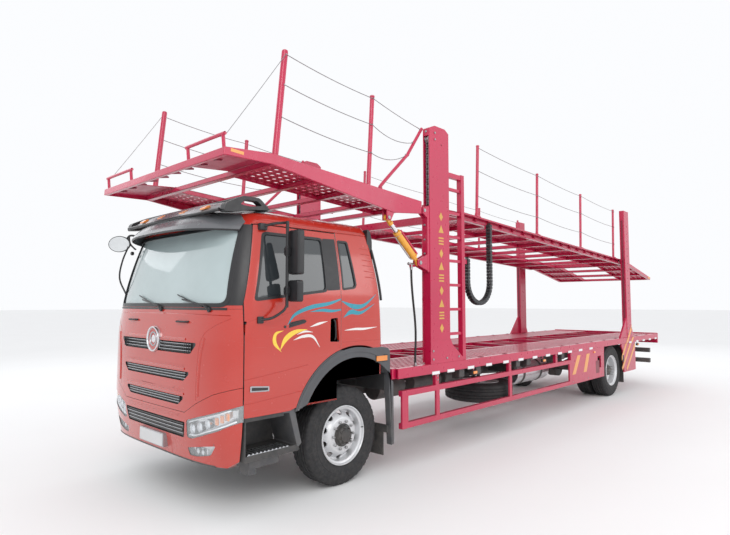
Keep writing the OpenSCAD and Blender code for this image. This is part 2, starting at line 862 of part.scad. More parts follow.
// Front rim: disc bulges outwards, with the hub, brake drum and spindle bore
module front_rim() {
    dish = 70;
    color(steel_grey) difference() {
        union() {
            difference() {
                rim_disc(dish);
                hand_hole_cut(dish);
            }
            translate([0, 0, -60]) cylinder(r = hub_radius, h = dish + 60);
            translate([0, 0, dish]) cylinder(r = 95, h = 70);
            translate([0, 0, -60]) difference() {
                cylinder(r = drum_radius, h = 75);
                translate([0, 0, -1]) cylinder(r = drum_radius - 14, h = 64);
            }
        }
        translate([0, 0, -61]) cylinder(r = spindle_radius + running_fit, h = 111);
    }
}

// Twin rims on one hub; local Z points outwards and 0 is the outer tyre's centre
module twin_rims() {
    dish = -40;
    color(steel_grey) difference() {
        union() {
            difference() {
                rim_disc(dish);
                hand_hole_cut(dish);
            }
            translate([0, 0, -twin_spacing]) difference() {
                rim_disc(70);
                hand_hole_cut(70);
            }
            translate([0, 0, 70 - twin_spacing]) difference() {
                cylinder(r = 165, h = dish - 14 - 70 + twin_spacing);
                translate([0, 0, -1]) cylinder(r = 90, h = twin_spacing);
            }
            translate([0, 0, -twin_spacing - 60]) cylinder(r = hub_radius, h = twin_spacing + 60);
            cylinder(r = 95, h = 130);
            translate([0, 0, -twin_spacing - 60]) difference() {
                cylinder(r = drum_radius, h = 75);
                translate([0, 0, -1]) cylinder(r = drum_radius - 14, h = 64);
            }
        }
        translate([0, 0, -twin_spacing - 61])
            cylinder(r = spindle_radius + running_fit, h = twin_spacing + 122);
    }
}

// Places a wheel drawn round local Z at a hub, facing outwards on the given side
module at_wheel(side, x, y) {
    translate([side * x, front_axle_y + y, axle_z]) rotate([0, side * 90, 0]) children();
}

module twin_tyres(side) {
    at_wheel(side, rear_tyre_x, wheelbase) {
        tyre();
        translate([0, 0, -twin_spacing]) tyre();
    }
}

module knuckle(side) {
    reach = front_tyre_x + 48;
    web_x = kingpin_x + eye_radius + ear_gap;
    ear_z = eye_half + ear_gap;
    color(dark_grey) translate([0, front_axle_y, axle_z]) mirror([side < 0 ? 1 : 0, 0, 0]) {
        for (z = [-ear_z - ear_thickness, ear_z]) {
            z_cylinder(eye_radius, kingpin_x, 0, z, z + ear_thickness);
            block([kingpin_x, -45, z], [web_x + 26, 45, z + ear_thickness]);
        }
        z_cylinder(kingpin_radius, kingpin_x, 0, -ear_z, ear_z);
        block([web_x, -45, -ear_z], [web_x + 26, 45, ear_z]);
        x_cylinder(spindle_radius, web_x + 26, reach - 1, 0, 0);
        x_cylinder(drum_radius - 20, web_x + 10, web_x + 20, 0, 0);
    }
}

spare_x = 690;
spare_y = 3300;
spare_z = 560;

module spare_wheel() {
    at_axle() translate([spare_x, spare_y, spare_z]) {
        tyre();
        color(steel_grey) difference() {
            rim_disc(40);
            hand_hole_cut(40);
        }
        color(dark_grey) {
            translate([0, 0, 26]) cylinder(r = 130, h = 14);
            cylinder(r = 30, h = rail_bottom + 120 - spare_z);
            translate([frame_x - spare_x, -40, rail_bottom + 60 - spare_z])
                cube([spare_x - frame_x, 80, 60]);
        }
    }
}

module rear_underrun() {
    y0 = rear_end - 380;
    color(dark_grey) at_axle() {
        for (z = [700, 460])
            block([-1180, y0, z], [1180, y0 + 90, z + 100]);
        both_sides() {
            block([frame_x - rail_flange, y0 - 60, 460], [frame_x, y0, rail_bottom]);
        }
        both_sides() block([880, y0 + 90, 705], [1140, y0 + 120, 795]);
    }
}

// ---------------------------------------------------------------- hose and chain

tube_sides = 8;

// One tube swept along a list of points
function tube_tangent(path, i) =
    let (last = len(path) - 1, run = path[min(i + 1, last)] - path[max(i - 1, 0)])
    run / norm(run);
function tube_ring(path, i, radius) =
    let (
        along = tube_tangent(path, i),
        side = cross(along, [1, 0.01, 0]),
        first = side / norm(side),
        second = cross(along, first)
    )
    [for (k = [0 : tube_sides - 1])
        path[i] + radius * (first * cos(k * 360 / tube_sides) + second * sin(k * 360 / tube_sides))];
module tube(path, radius) {
    rings = len(path);
    points = [for (i = [0 : rings - 1]) each tube_ring(path, i, radius)];
    walls = [for (i = [0 : rings - 2], k = [0 : tube_sides - 1])
        let (next = (k + 1) % tube_sides)
        [i * tube_sides + k, i * tube_sides + next, (i + 1) * tube_sides + next, (i + 1) * tube_sides + k]];
    first_cap = [for (k = [tube_sides - 1 : -1 : 0]) k];
    last_cap = [for (k = [0 : tube_sides - 1]) (rings - 1) * tube_sides + k];
    polyhedron(points, concat([first_cap], walls, [last_cap]));
}

hose_points = [
    [1195, 1040, 2300], [1195, 1040, 2260], [1195, 1041, 2200], [1195, 1045, 2120], [1196, 1052, 2040],
    [1197, 1062, 1950], [1199, 1074, 1850], [1202, 1086, 1750], [1206, 1094, 1650], [1210, 1097, 1550],
    [1213, 1094, 1450], [1215, 1088, 1360], [1215, 1083, 1270], [1215, 1080, 1190], [1215, 1080, 1135]
];
hose_radius = 13;

module lift_hose() {
    color([0.05, 0.05, 0.05]) at_axle() tube(hose_points, hose_radius);
}

chain_x = side_x - 80;
chain_half = 35;
chain_depth = 60;
chain_front = 2240;
chain_loop = 290;
chain_low = 2160;
chain_top = 2990;

module drag_chain() {
    outer = chain_loop + chain_depth / 2;
    inner = chain_loop - chain_depth / 2;
    centre_y = chain_front + chain_loop;
    color([0.05, 0.05, 0.05]) at_axle() {
        difference() {
            x_cylinder(outer, chain_x - chain_half, chain_x + chain_half, centre_y, chain_low);
            x_cylinder(inner, chain_x - 99, chain_x + 99, centre_y, chain_low);
            block(
                [chain_x - 99, centre_y - 999, chain_low],
                [chain_x + 99, centre_y + 999, chain_low + 999]
            );
        }
        block(
            [chain_x - chain_half, centre_y - outer, chain_low],
            [chain_x + chain_half, centre_y - inner, chain_low + 300]
        );
        block(
            [chain_x - chain_half, centre_y + inner, chain_low],
            [chain_x + chain_half, centre_y + outer, chain_top]
        );
    }
}

// ---------------------------------------------------------------- upper decks

// Front deck frame: local Y runs from the hinge, negative to the front, local Z is 0 at its top
deck_rise = 95;
ramp_length = tilt_hinge_y - 65 + front_overhang - nose_length;
module on_front_deck() {
    at_axle() translate([0, tilt_hinge_y, tilt_hinge_z + deck_rise]) rotate([-front_slope, 0, 0]) children();
}

rod_eye_y = 560;
rod_eye_z = 2830;
front_tail = -62;
rail_x = tower_inner - 30;
rod_pin_radius = 14;
front_kink = front_tail - ramp_length;
nose_low = 140;
front_nose = (nose_low * sin(front_slope) - front_overhang - tilt_hinge_y) / cos(front_slope);
front_beam = 80;

module front_track(x0, x1, y0, y1, z) {
    block([x0, y0, z - 8], [x1, y1, z]);
}

module front_upper_deck() {
    beam = [
        [front_tail, 0], [front_kink, 0], [front_nose, nose_low / -2], [front_nose, -nose_low],
        [front_kink, -100],
        [-560, -230], [front_tail, -150]
    ];
    color(deck_red) on_front_deck() {
        both_sides() {
            side_plate(side_x - 30, side_x, beam);
            block([side_x - front_beam, front_kink, -40], [side_x - 30, front_tail, -30]);
            front_track(560, side_x - 30, front_kink, front_tail - 60, -40);
            block([540, front_kink, -90], [560, front_tail - 60, -40]);
        }
        for (y = [front_kink, -1650, -1100, -560, front_tail - 70])
            block([-side_x + 30, y, -100], [side_x - 30, y + 60, -48]);
        // Nose, sloping down a little to the front cross beam
        side_plate(-side_x + 30, side_x - 30, [
            [front_nose, nose_low / -2], [front_nose, -nose_low], [front_nose + 50, -133],
            [front_nose + 50, -62]
        ]);
        both_sides() side_plate(560, side_x - 30, [
            [front_nose + 50, -100], [front_kink, -40], [front_kink, -48], [front_nose + 50, -108]
        ]);
    }
    color(deck_red) at_axle() both_sides() {
        // Hinge eye and pin between the carriage ears, and the cylinder's clevis
        x_cylinder(42, side_x - 65, side_x - 35, tilt_hinge_y, tilt_hinge_z);
        x_cylinder(hinge_radius, side_x - 92, side_x - 8, tilt_hinge_y, tilt_hinge_z);
        side_plate(side_x - 65, side_x - 35, [
            [tilt_hinge_y - 140, tilt_hinge_z - 40], [tilt_hinge_y - 140, tilt_hinge_z + 60],
            [tilt_hinge_y - 5, tilt_hinge_z + 38], [tilt_hinge_y - 5, tilt_hinge_z - 38]
        ]);
        for (x = [side_x - 90, side_x - 30])
            side_plate(x, x + 20, [
                [rod_eye_y - 30, rod_eye_z - 30], [rod_eye_y - 30, tilt_hinge_z + 10],
                [rod_eye_y + 160, tilt_hinge_z + 10], [rod_eye_y + 40, rod_eye_z - 30]
            ]);
        x_cylinder(rod_pin_radius, side_x - 71, side_x - 29, rod_eye_y, rod_eye_z);
    }
}

front_post_height = 1050;
middle_post_y = -940;
stop_width = 600;
stop_height = 120;
stop_lean = 19;

// Hoop that stops a wheel on the nose cross beam
module wheel_stop() {
    x1 = side_x - 60;
    x0 = x1 - stop_width;
    y = front_nose + 30;
    z = -64.8;
    for (x = [x0, x1])
        bar([x, y, z], [x, y - stop_lean, z + stop_height], 16);
    bar([x0 - 10, y - stop_lean, z + stop_height], [x1 + 10, y - stop_lean, z + stop_height], 16);
}

module front_deck_posts() {
    x = side_x - 63;
    color(deck_red) on_front_deck() both_sides() {
        for (y = [front_kink + 90, middle_post_y])
            block([side_x - front_beam, y - 45, -30], [side_x - 31, y + 45, -16]);
        bar([x, front_kink + 70, -25], [x, front_kink + 110, front_post_height], 31);
        bar([x, middle_post_y, -25], [x, middle_post_y, front_post_height - 20], 25);
        wheel_stop();
        // Bent hand rail that ends inboard of the tower
        block([rail_x - 40, -700, -40], [rail_x + 30, -620, -28]);
        bar([rail_x, -662, -36], [rail_x, -662, 84], 20);
        bar([rail_x, -662, 84], [rail_x, -211, 563], 20);
        bar([rail_x, -211, 563], [rail_x, 45, 960], 20);
        translate([rail_x, -662, 84]) sphere(r = 21);
        translate([rail_x, -211, 563]) sphere(r = 21);
    }
}

// Rear deck frame: local Y runs from its front end, local Z is 0 at its top
module on_rear_deck() {
    at_axle() translate([0, rear_deck_front, rear_deck_top]) rotate([-rear_slope, 0, 0]) children();
}

rear_channel = 70;
flap_gap = 32;
flap_hinge_z = -40;
chain_moving_y = chain_front + 2 * chain_loop;
rear_beam_depth = 110;

module rear_upper_deck() {
    color(deck_red) on_rear_deck() {
        both_sides() {
            block(
                [rear_deck_half - rear_channel, 0, -rear_beam_depth],
                [rear_deck_half, rear_deck_length, 0]
            );
            block([track_inner, 60, -40], [rear_deck_half - rear_channel, rear_deck_length - 60, -32]);
            block([track_inner - 40, 60, -90], [track_inner, rear_deck_length - 60, -32]);
        }
        for (y = [60 : 715 : rear_deck_length - 60])
            block(
                [rear_channel - rear_deck_half, y - 30, -100],
                [rear_deck_half - rear_channel, y + 30, -40]
            );
        block([-rear_deck_half, 0, -rear_beam_depth], [rear_deck_half, 60, 0]);
        block(
            [-rear_deck_half, rear_deck_length - 60, -rear_beam_depth],
            [rear_deck_half, rear_deck_length, 0]
        );
        // Hinge barrels of the tail flap
        both_sides() for (x = [track_inner, rear_deck_half - 160]) {
            block(
                [x, rear_deck_length, flap_hinge_z - 20],
                [x + 40, rear_deck_length + flap_gap, flap_hinge_z + 20]
            );
            x_cylinder(20, x, x + 40, rear_deck_length + flap_gap, flap_hinge_z);
        }
        both_sides()
            x_cylinder(10, track_inner, rear_deck_half - 60, rear_deck_length + flap_gap, flap_hinge_z);
    }
    color(deck_red) at_axle() rear_deck_shoes();
}

shoe_x = tower_inner - seat_gap;
shoe_half_height = 140;
function rear_deck_z(y) = rear_deck_top - (y - rear_deck_front) * tan(rear_slope);

// Slide shoes on the towers and rear posts, with the arms that carry them
module rear_deck_shoes() {
    front_z = rear_deck_top - rear_beam_depth / 2;
    rear_y = post_front + post_depth / 2;
    rear_z = rear_deck_z(rear_y) - rear_beam_depth / 2;
    both_sides() {
        block(
            [rear_deck_half - 50, tower_front + 60, front_z - 40],
            [rear_deck_half, rear_deck_front + 40, front_z + 40]
        );
        block(
            [rear_deck_half - 10, tower_front + 60, front_z - shoe_half_height],
            [shoe_x, tower_rear - 60, front_z + shoe_half_height]
        );
        block([rear_deck_half - 10, rear_y - 100, rear_z - 60], [shoe_x, rear_y + 100, rear_z + 60]);
    }
    // Bracket of the drag chain's moving end
    block(
        [rear_deck_half - 20, chain_moving_y - 20, chain_top - 70],
        [chain_x - chain_half, chain_moving_y + 20, chain_top - 10]
    );
}

fence_ys = [450, 2310, 4120, 5860];

module rear_deck_posts() {
    color(deck_red) on_rear_deck() both_sides() for (y = fence_ys)
        bar([rear_deck_half - 35, y, 0], [rear_deck_half - 35, y, fence_height], 22);
}

flap_knuckle_x = [track_inner + 45, rear_deck_half - 115];

module rear_deck_flap() {
    color(deck_red) on_rear_deck() translate([0, rear_deck_length + flap_gap, flap_hinge_z])
        rotate([-flap_droop, 0, 0]) {
            both_sides() {
                block([rear_deck_half - 60, 40, -30], [rear_deck_half, flap_length, 30]);
                block([track_inner, 40, 22], [rear_deck_half - 60, flap_length, 30]);
                block([track_inner - 40, 40, -26], [track_inner, flap_length, 30]);
                for (x = flap_knuckle_x)
                    difference() {
                        union() {
                            x_cylinder(20, x, x + 40, 0, 0);
                            block([x, 0, -18], [x + 40, 40, 18]);
                        }
                        x_cylinder(10 + running_fit, x - 1, x + 41, 0, 0);
                    }
            }
            for (y = [40, 600, 1150, flap_length - 50])
                block([60 - rear_deck_half, y, -30], [rear_deck_half - 60, y + 50, 22]);
        }
}

// ---------------------------------------------------------------- tilt cylinders

cylinder_angle = atan2(rod_eye_z - cylinder_pin_z, cylinder_pin_y - rod_eye_y);
cylinder_length = norm([rod_eye_z - cylinder_pin_z, cylinder_pin_y - rod_eye_y]);
cylinder_barrel = 520;
eye_slack = 9;
rod_radius = 25;
rod_length = 560;

// Local X runs from the lower pin to the rod eye
module on_cylinder() {
    at_axle() both_sides() translate([cylinder_x, cylinder_pin_y, cylinder_pin_z])
        rotate([-cylinder_angle, 0, 0]) rotate([0, 0, -90]) children();
}

module tilt_barrels() {
    color([0.9, 0.65, 0.15]) on_cylinder() difference() {
        union() {
            translate([90, 0, 0]) rotate([0, 90, 0]) cylinder(r = 40, h = cylinder_barrel - 90);
            translate([0, 14, 0]) rotate([90, 0, 0]) cylinder(r = 38, h = 28);
            translate([0, -14, -24]) cube([100, 28, 48]);
        }
        translate([110, 0, 0]) rotate([0, 90, 0])
            cylinder(r = rod_radius + running_fit, h = cylinder_barrel);
        translate([0, 15, 0]) rotate([90, 0, 0]) cylinder(r = hinge_radius + running_fit, h = 30);
    }
}

module barrel_cradles() {
    color(deck_red) on_cylinder() translate([90, -25, 40]) cube([cylinder_barrel - 120, 50, 26]);
}

module tilt_rods() {
    color([0.8, 0.8, 0.82]) on_cylinder() difference() {
        union() {
            translate([cylinder_length - rod_length, 0, 0]) rotate([0, 90, 0])
                cylinder(r = rod_radius, h = rod_length - 80);
            translate([cylinder_length - 95, -14, -24]) cube([95, 28, 48]);
            translate([cylinder_length, 14, 0]) rotate([90, 0, 0]) cylinder(r = 34, h = 28);
        }
        translate([cylinder_length, 15, 0]) rotate([90, 0, 0])
            cylinder(r = rod_pin_radius + eye_slack, h = 30);
    }
}

// ---------------------------------------------------------------- doors and mirrors

module door_half() {
    color(cab_red) at_axle() {
        difference() {
            intersection() {
                cab_skin(0, door_thickness);
                side_plate(700, cab_half + 50, door_outline(0));
            }
            side_plate(600, cab_half + 50, door_window);
            for (z = hinge_heights)
                block(
                    [hinge_x - 90, -door_front - 20, z - 60],
                    [hinge_x + lug_radius + 4, hinge_y + 30, z + 60]
                );
        }
        for (z = hinge_heights) difference() {
            union() {
                z_cylinder(16, hinge_x, hinge_y, z - 34, z + 34);
                block([hinge_x - 14, hinge_y, z - 34], [hinge_x + 14, hinge_y + 34, z + 34]);
            }
            z_cylinder(hinge_pin + running_fit, hinge_x, hinge_y, z - 35, z + 35);
        }
    }
}

module window_half() {
    color([0.2, 0.25, 0.27, 0.5]) at_axle() intersection() {
        cab_skin(12, 12 + glass_thickness);
        side_plate(600, cab_half + 50, door_window);
    }
}

mirror_x = cab_half + 130;
mirror_y = -880;

module mirror_half() {
    color([0.08, 0.08, 0.09]) at_axle() difference() {
        union() {
            block([mirror_x - 60, mirror_y - 10, 2130], [mirror_x + 95, mirror_y + 60, 2540]);
            block([mirror_x - 60, mirror_y - 10, 1880], [mirror_x + 95, mirror_y + 60, 2080]);
            bar([mirror_x - 30, mirror_y - 40, 1700], [mirror_x - 30, mirror_y - 40, 2620], 16);
            bar([mirror_x - 30, mirror_y - 40, 2600], [cab_half - 100, -1100, 2570], 14);
            bar([mirror_x - 30, mirror_y - 40, 1720], [cab_half - 20, -1130, 1740], 14);
            for (z = [2340, 1980])
                block([mirror_x - 44, mirror_y - 50, z - 20], [mirror_x - 16, mirror_y, z + 20]);
        }
        cab_body(0);
    }
}

module right_of() { mirror([1, 0, 0]) children(); }

frame_rails();
front_axle();
rear_axle();
leaf_springs();
engine();
prop_shaft();
cab_shell();
front_panel();
grille();
bumper();
cab_glass();
sun_visor();
headlamps();
dashboard();
seats();
steering_wheel();
cab_steps();
mudguards();
lower_deck();
front_towers();
rear_posts();
ladder();
side_guards();
rear_panels();
fuel_tank();
spare_wheel();
rear_underrun();
drag_chain();
lift_hose();
front_upper_deck();
front_deck_posts();
rear_upper_deck();
rear_deck_posts();
rear_deck_flap();
tilt_barrels();
barrel_cradles();
tilt_rods();
door_half();  // left_door
window_half();  // left_window
mirror_half();  // left_mirror
right_of() door_half();  // right_door
right_of() window_half();  // right_window
right_of() mirror_half();  // right_mirror
knuckle(1);  // left_knuckle
knuckle(-1);  // right_knuckle
at_wheel(1, front_tyre_x, 0) tyre();  // front_left_tyre
at_wheel(1, front_tyre_x, 0) front_rim();  // front_left_rim
at_wheel(-1, front_tyre_x, 0) tyre();  // front_right_tyre
at_wheel(-1, front_tyre_x, 0) front_rim();  // front_right_rim
twin_tyres(1);  // rear_left_tyres
at_wheel(1, rear_tyre_x, wheelbase) twin_rims();  // rear_left_rims
twin_tyres(-1);  // rear_right_tyres
at_wheel(-1, rear_tyre_x, wheelbase) twin_rims();  // rear_right_rims
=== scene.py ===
"""Looks of the car transporter truck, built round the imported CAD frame.

Lengths are millimetres. X is to the truck's left, Y is measured backwards from the
front axle and Z is up from the ground, as in the part's source.
"""
import json
import math

import bmesh
import bpy
from mathutils import Matrix, Vector


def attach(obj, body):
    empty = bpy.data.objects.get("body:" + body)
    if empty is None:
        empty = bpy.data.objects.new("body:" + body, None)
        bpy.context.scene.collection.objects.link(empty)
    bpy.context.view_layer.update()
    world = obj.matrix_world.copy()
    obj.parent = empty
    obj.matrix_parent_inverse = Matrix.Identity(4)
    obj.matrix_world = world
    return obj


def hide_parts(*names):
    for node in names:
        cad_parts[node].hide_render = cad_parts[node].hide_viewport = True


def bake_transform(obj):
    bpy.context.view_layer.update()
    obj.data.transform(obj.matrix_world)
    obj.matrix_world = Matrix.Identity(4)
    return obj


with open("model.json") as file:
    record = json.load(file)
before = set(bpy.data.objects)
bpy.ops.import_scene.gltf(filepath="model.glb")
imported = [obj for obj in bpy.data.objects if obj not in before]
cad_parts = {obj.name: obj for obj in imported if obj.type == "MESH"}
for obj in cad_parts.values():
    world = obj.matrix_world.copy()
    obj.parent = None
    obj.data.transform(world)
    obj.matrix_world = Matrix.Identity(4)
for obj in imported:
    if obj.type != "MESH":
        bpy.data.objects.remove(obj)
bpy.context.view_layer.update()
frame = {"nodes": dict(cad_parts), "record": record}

FRONT_AXLE = -4440.0
WHEELBASE = 7500.0


# ---------------------------------------------------------------- camera

scene = bpy.context.scene
LOOK_AZIMUTH, LOOK_UP = math.radians(43.478), math.radians(3.70)
camera = bpy.data.objects.new("camera", bpy.data.cameras.new("camera"))
scene.collection.objects.link(camera)
camera.location = (5.222, -8.444, 1.875)
look = Vector((
    -math.sin(LOOK_AZIMUTH) * math.cos(LOOK_UP),
    math.cos(LOOK_AZIMUTH) * math.cos(LOOK_UP),
    math.sin(LOOK_UP),
))
camera.rotation_euler = look.to_track_quat("-Z", "Y").to_euler()
camera.data.sensor_width = 36
camera.data.lens = 26.78
camera.data.clip_start, camera.data.clip_end = 0.05, 400
scene.camera = camera


# ---------------------------------------------------------------- materials

class Nodes:
    """Short way to add and link shader nodes"""

    def __init__(self, name):
        self.material = bpy.data.materials.new(name)
        self.material.use_nodes = True
        self.tree = self.material.node_tree
        self.tree.nodes.clear()
        self.output = self.new("ShaderNodeOutputMaterial")
        self.shader = self.new("ShaderNodeBsdfPrincipled")
        self.link(self.shader.outputs[0], self.output.inputs[0])
        self.place = self.new("ShaderNodeTexCoord").outputs["Object"]

    def new(self, kind, **settings):
        node = self.tree.nodes.new(kind)
        for key, value in settings.items():
            setattr(node, key, value)
        return node

    def link(self, a, b):
        self.tree.links.new(a, b)

    def feed(self, node, values):
        for key, value in values.items():
            if isinstance(value, bpy.types.NodeSocket):
                self.link(value, node.inputs[key])
            else:
                node.inputs[key].default_value = value
        return node

    def noise(self, scale, detail=4.0, stretch=(1, 1, 1), rough=0.55):
        where = self.place
        if stretch != (1, 1, 1):
            where = self.feed(self.new("ShaderNodeMapping"),
                              {"Vector": self.place, "Scale": stretch}).outputs[0]
        return self.feed(self.new("ShaderNodeTexNoise"), {
            "Vector": where, "Scale": scale, "Detail": detail, "Roughness": rough}).outputs[0]

    def remap(self, value, a, b, c, d):
        return self.feed(self.new("ShaderNodeMapRange"), {0: value, 1: a, 2: b, 3: c, 4: d}).outputs[0]

    def mix(self, fac, a, b):
        node = self.new("ShaderNodeMix", data_type="RGBA")
        return self.feed(node, {0: fac, 6: a, 7: b}).outputs[2]

    def math(self, kind, a, b=0.0):
        return self.feed(self.new("ShaderNodeMath", operation=kind), {0: a, 1: b}).outputs[0]

    def height(self):
        node = self.new("ShaderNodeSeparateXYZ")
        self.link(self.place, node.inputs[0])
        return node.outputs[2]

    def bump(self, height, strength, distance):
        node = self.feed(self.new("ShaderNodeBump"),
                         {"Height": height, "Strength": strength, "Distance": distance})
        self.link(node.outputs[0], self.shader.inputs["Normal"])


def rgba(c, k=1.0):
    return (min(c[0] * k, 1), min(c[1] * k, 1), min(c[2] * k, 1), 1)


DUST = (0.42, 0.37, 0.32, 1)


def paint(name, colour, rough=0.32, coat=0.4, dust=0.35, dust_top=1.3, fade=0.12, peel=0.05, chips=0.0,
          metallic=0.0):
    """Sprayed paint: colour drift, orange peel, road dust low down, fine scratches and chips"""
    n = Nodes(name)
    drift = n.noise(1.4, 5)
    base = n.mix(drift, rgba(colour, 1 - fade), rgba(colour, 1 + fade))
    scratch = n.remap(n.noise(38, 8, (1, 0.12, 1.6)), 0.62, 0.72, 0, 1)
    base = n.mix(n.math("MULTIPLY", scratch, 0.16), base, rgba([0.7 * c + 0.12 for c in colour]))
    low = n.remap(n.height(), 0.2, dust_top, 1, 0)
    dirt = n.math("MULTIPLY", n.math("MULTIPLY", low, n.remap(n.noise(7, 8, rough=0.7), 0.3, 0.75, 0.15, 1)),
                  dust)
    base = n.mix(dirt, base, DUST)
    if chips:
        chip = n.math("MULTIPLY", n.remap(n.noise(55, 3), 0.73, 0.75, 0, 1), chips)
        base = n.mix(chip, base, (0.05, 0.035, 0.03, 1))
    roughness = n.math("ADD", n.remap(n.noise(11, 6), 0.3, 0.7, rough - 0.05, rough + 0.08),
                       n.math("MULTIPLY", dirt, 0.5))
    n.feed(n.shader, {"Base Color": base, "Roughness": roughness, "Coat Weight": coat,
                      "Coat Roughness": 0.08,
                      "Metallic": metallic})
    n.bump(n.noise(420, 2), peel, 0.0008)
    return n.material


def plastic(name, colour, rough=0.55, grain=900.0, strength=0.25, dust=0.3, dust_top=1.2, fade=0.2):
    n = Nodes(name)
    low = n.remap(n.height(), 0.1, dust_top, 1, 0)
    dirt = n.math("MULTIPLY", n.math("MULTIPLY", low, n.remap(n.noise(9, 8, rough=0.7), 0.35, 0.75, 0.1, 1)),
                  dust)
    base = n.mix(n.noise(3, 6), rgba(colour, 1 - fade), rgba(colour, 1 + fade))
    base = n.mix(dirt, base, DUST)
    n.feed(n.shader, {"Base Color": base,
                      "Roughness": n.math("ADD",
                                          n.remap(n.noise(24, 5), 0.3, 0.7, rough - 0.07, rough + 0.07),
                                          n.math("MULTIPLY", dirt, 0.3))})
    n.bump(n.noise(grain, 3), strength, 0.0006)
    return n.material


def metal(name, colour, rough=0.3, brushed=(1, 1, 1), strength=0.12, dust=0.15, metallic=1.0):
    n = Nodes(name)
    low = n.remap(n.height(), 0.1, 1.2, 1, 0)
    dirt = n.math("MULTIPLY", n.math("MULTIPLY", low, n.remap(n.noise(10, 8), 0.35, 0.75, 0.1, 1)), dust)
    base = n.mix(n.noise(14, 6, brushed), rgba(colour, 0.88), rgba(colour, 1.08))
    base = n.mix(dirt, base, DUST)
    n.feed(n.shader, {"Base Color": base, "Metallic": metallic,
                      "Roughness": n.remap(n.noise(60, 6, brushed), 0.3, 0.7, rough - 0.08, rough + 0.1)})
    n.bump(n.noise(300, 3, brushed), strength, 0.0004)
    return n.material


def rubber(name, colour=(0.018, 0.018, 0.02), dust=0.22):
    """Tyre rubber, a little brown and dusty, with a fine skin"""
    n = Nodes(name)
    base = n.mix(n.noise(6, 7), rgba(colour, 0.7), rgba(colour, 1.5))
    dirt = n.math("MULTIPLY", n.remap(n.noise(16, 8, rough=0.75), 0.42, 0.72, 0, 1), dust)
    base = n.mix(dirt, base, (0.12, 0.105, 0.09, 1))
    n.feed(n.shader, {"Base Color": base, "Roughness": n.remap(n.noise(40, 5), 0.3, 0.7, 0.62, 0.86)})
    n.bump(n.noise(520, 4), 0.25, 0.0008)
    return n.material


def glass(name, colour, alpha, rough=0.03):
    """Pane: a coated gloss over a flat colour that lets part of the cabin show; on the side panes the dark
    colour is the tint plus painted shade of the cabin behind, on the windscreen the pale colour is painted
    reflection
    """
    n = Nodes(name)
    smear = n.remap(n.noise(3.5, 6, (1, 1, 2)), 0.45, 0.75, 0, 0.06)
    n.feed(n.shader, {"Base Color": n.mix(n.noise(2, 3), rgba(colour, 0.85), rgba(colour, 1.15)),
                      "Roughness": n.math("ADD", smear, rough), "Alpha": alpha, "Coat Weight": 1.0,
                      "Coat Roughness": 0.02, "IOR": 1.5})
    n.bump(n.noise(1.5, 2), 0.02, 0.002)
    return n.material


def fabric(name, colour):
    n = Nodes(name)
    warp = n.feed(n.new("ShaderNodeTexWave", bands_direction="X"),
                  {"Vector": n.place, "Scale": 420.0, "Distortion": 0.6})
    weft = n.feed(n.new("ShaderNodeTexWave", bands_direction="Z"),
                  {"Vector": n.place, "Scale": 420.0, "Distortion": 0.6})
    weave = n.math("MULTIPLY", warp.outputs[1], weft.outputs[1])
    base = n.mix(weave, rgba(colour, 0.6), rgba(colour, 1.35))
    base = n.mix(n.remap(n.noise(5, 5), 0.4, 0.7, 0, 0.35), base, rgba(colour, 1.8))
    n.feed(n.shader, {"Base Color": base, "Roughness": 0.85, "Sheen Weight": 0.4})
    n.bump(weave, 0.35, 0.0008)
    return n.material


def lens(name, colour, glow=0.0, ribs=160.0, alpha=1.0):
    """Moulded lamp lens with fine optics behind a clear coat"""
    n = Nodes(name)
    wave = n.feed(n.new("ShaderNodeTexWave", bands_direction="X"),
                  {"Vector": n.place, "Scale": ribs, "Distortion": 0.2})
    base = n.mix(wave.outputs[1], rgba(colour, 0.8), rgba(colour, 1.1))
    n.feed(n.shader, {"Base Color": base, "Roughness": n.remap(n.noise(20, 3), 0.3, 0.7, 0.08, 0.16),
                      "Coat Weight": 1.0, "Coat Roughness": 0.03, "Alpha": alpha,
                      "Emission Color": rgba(colour), "Emission Strength": glow})
    n.bump(wave.outputs[1], 0.25, 0.001)
    return n.material


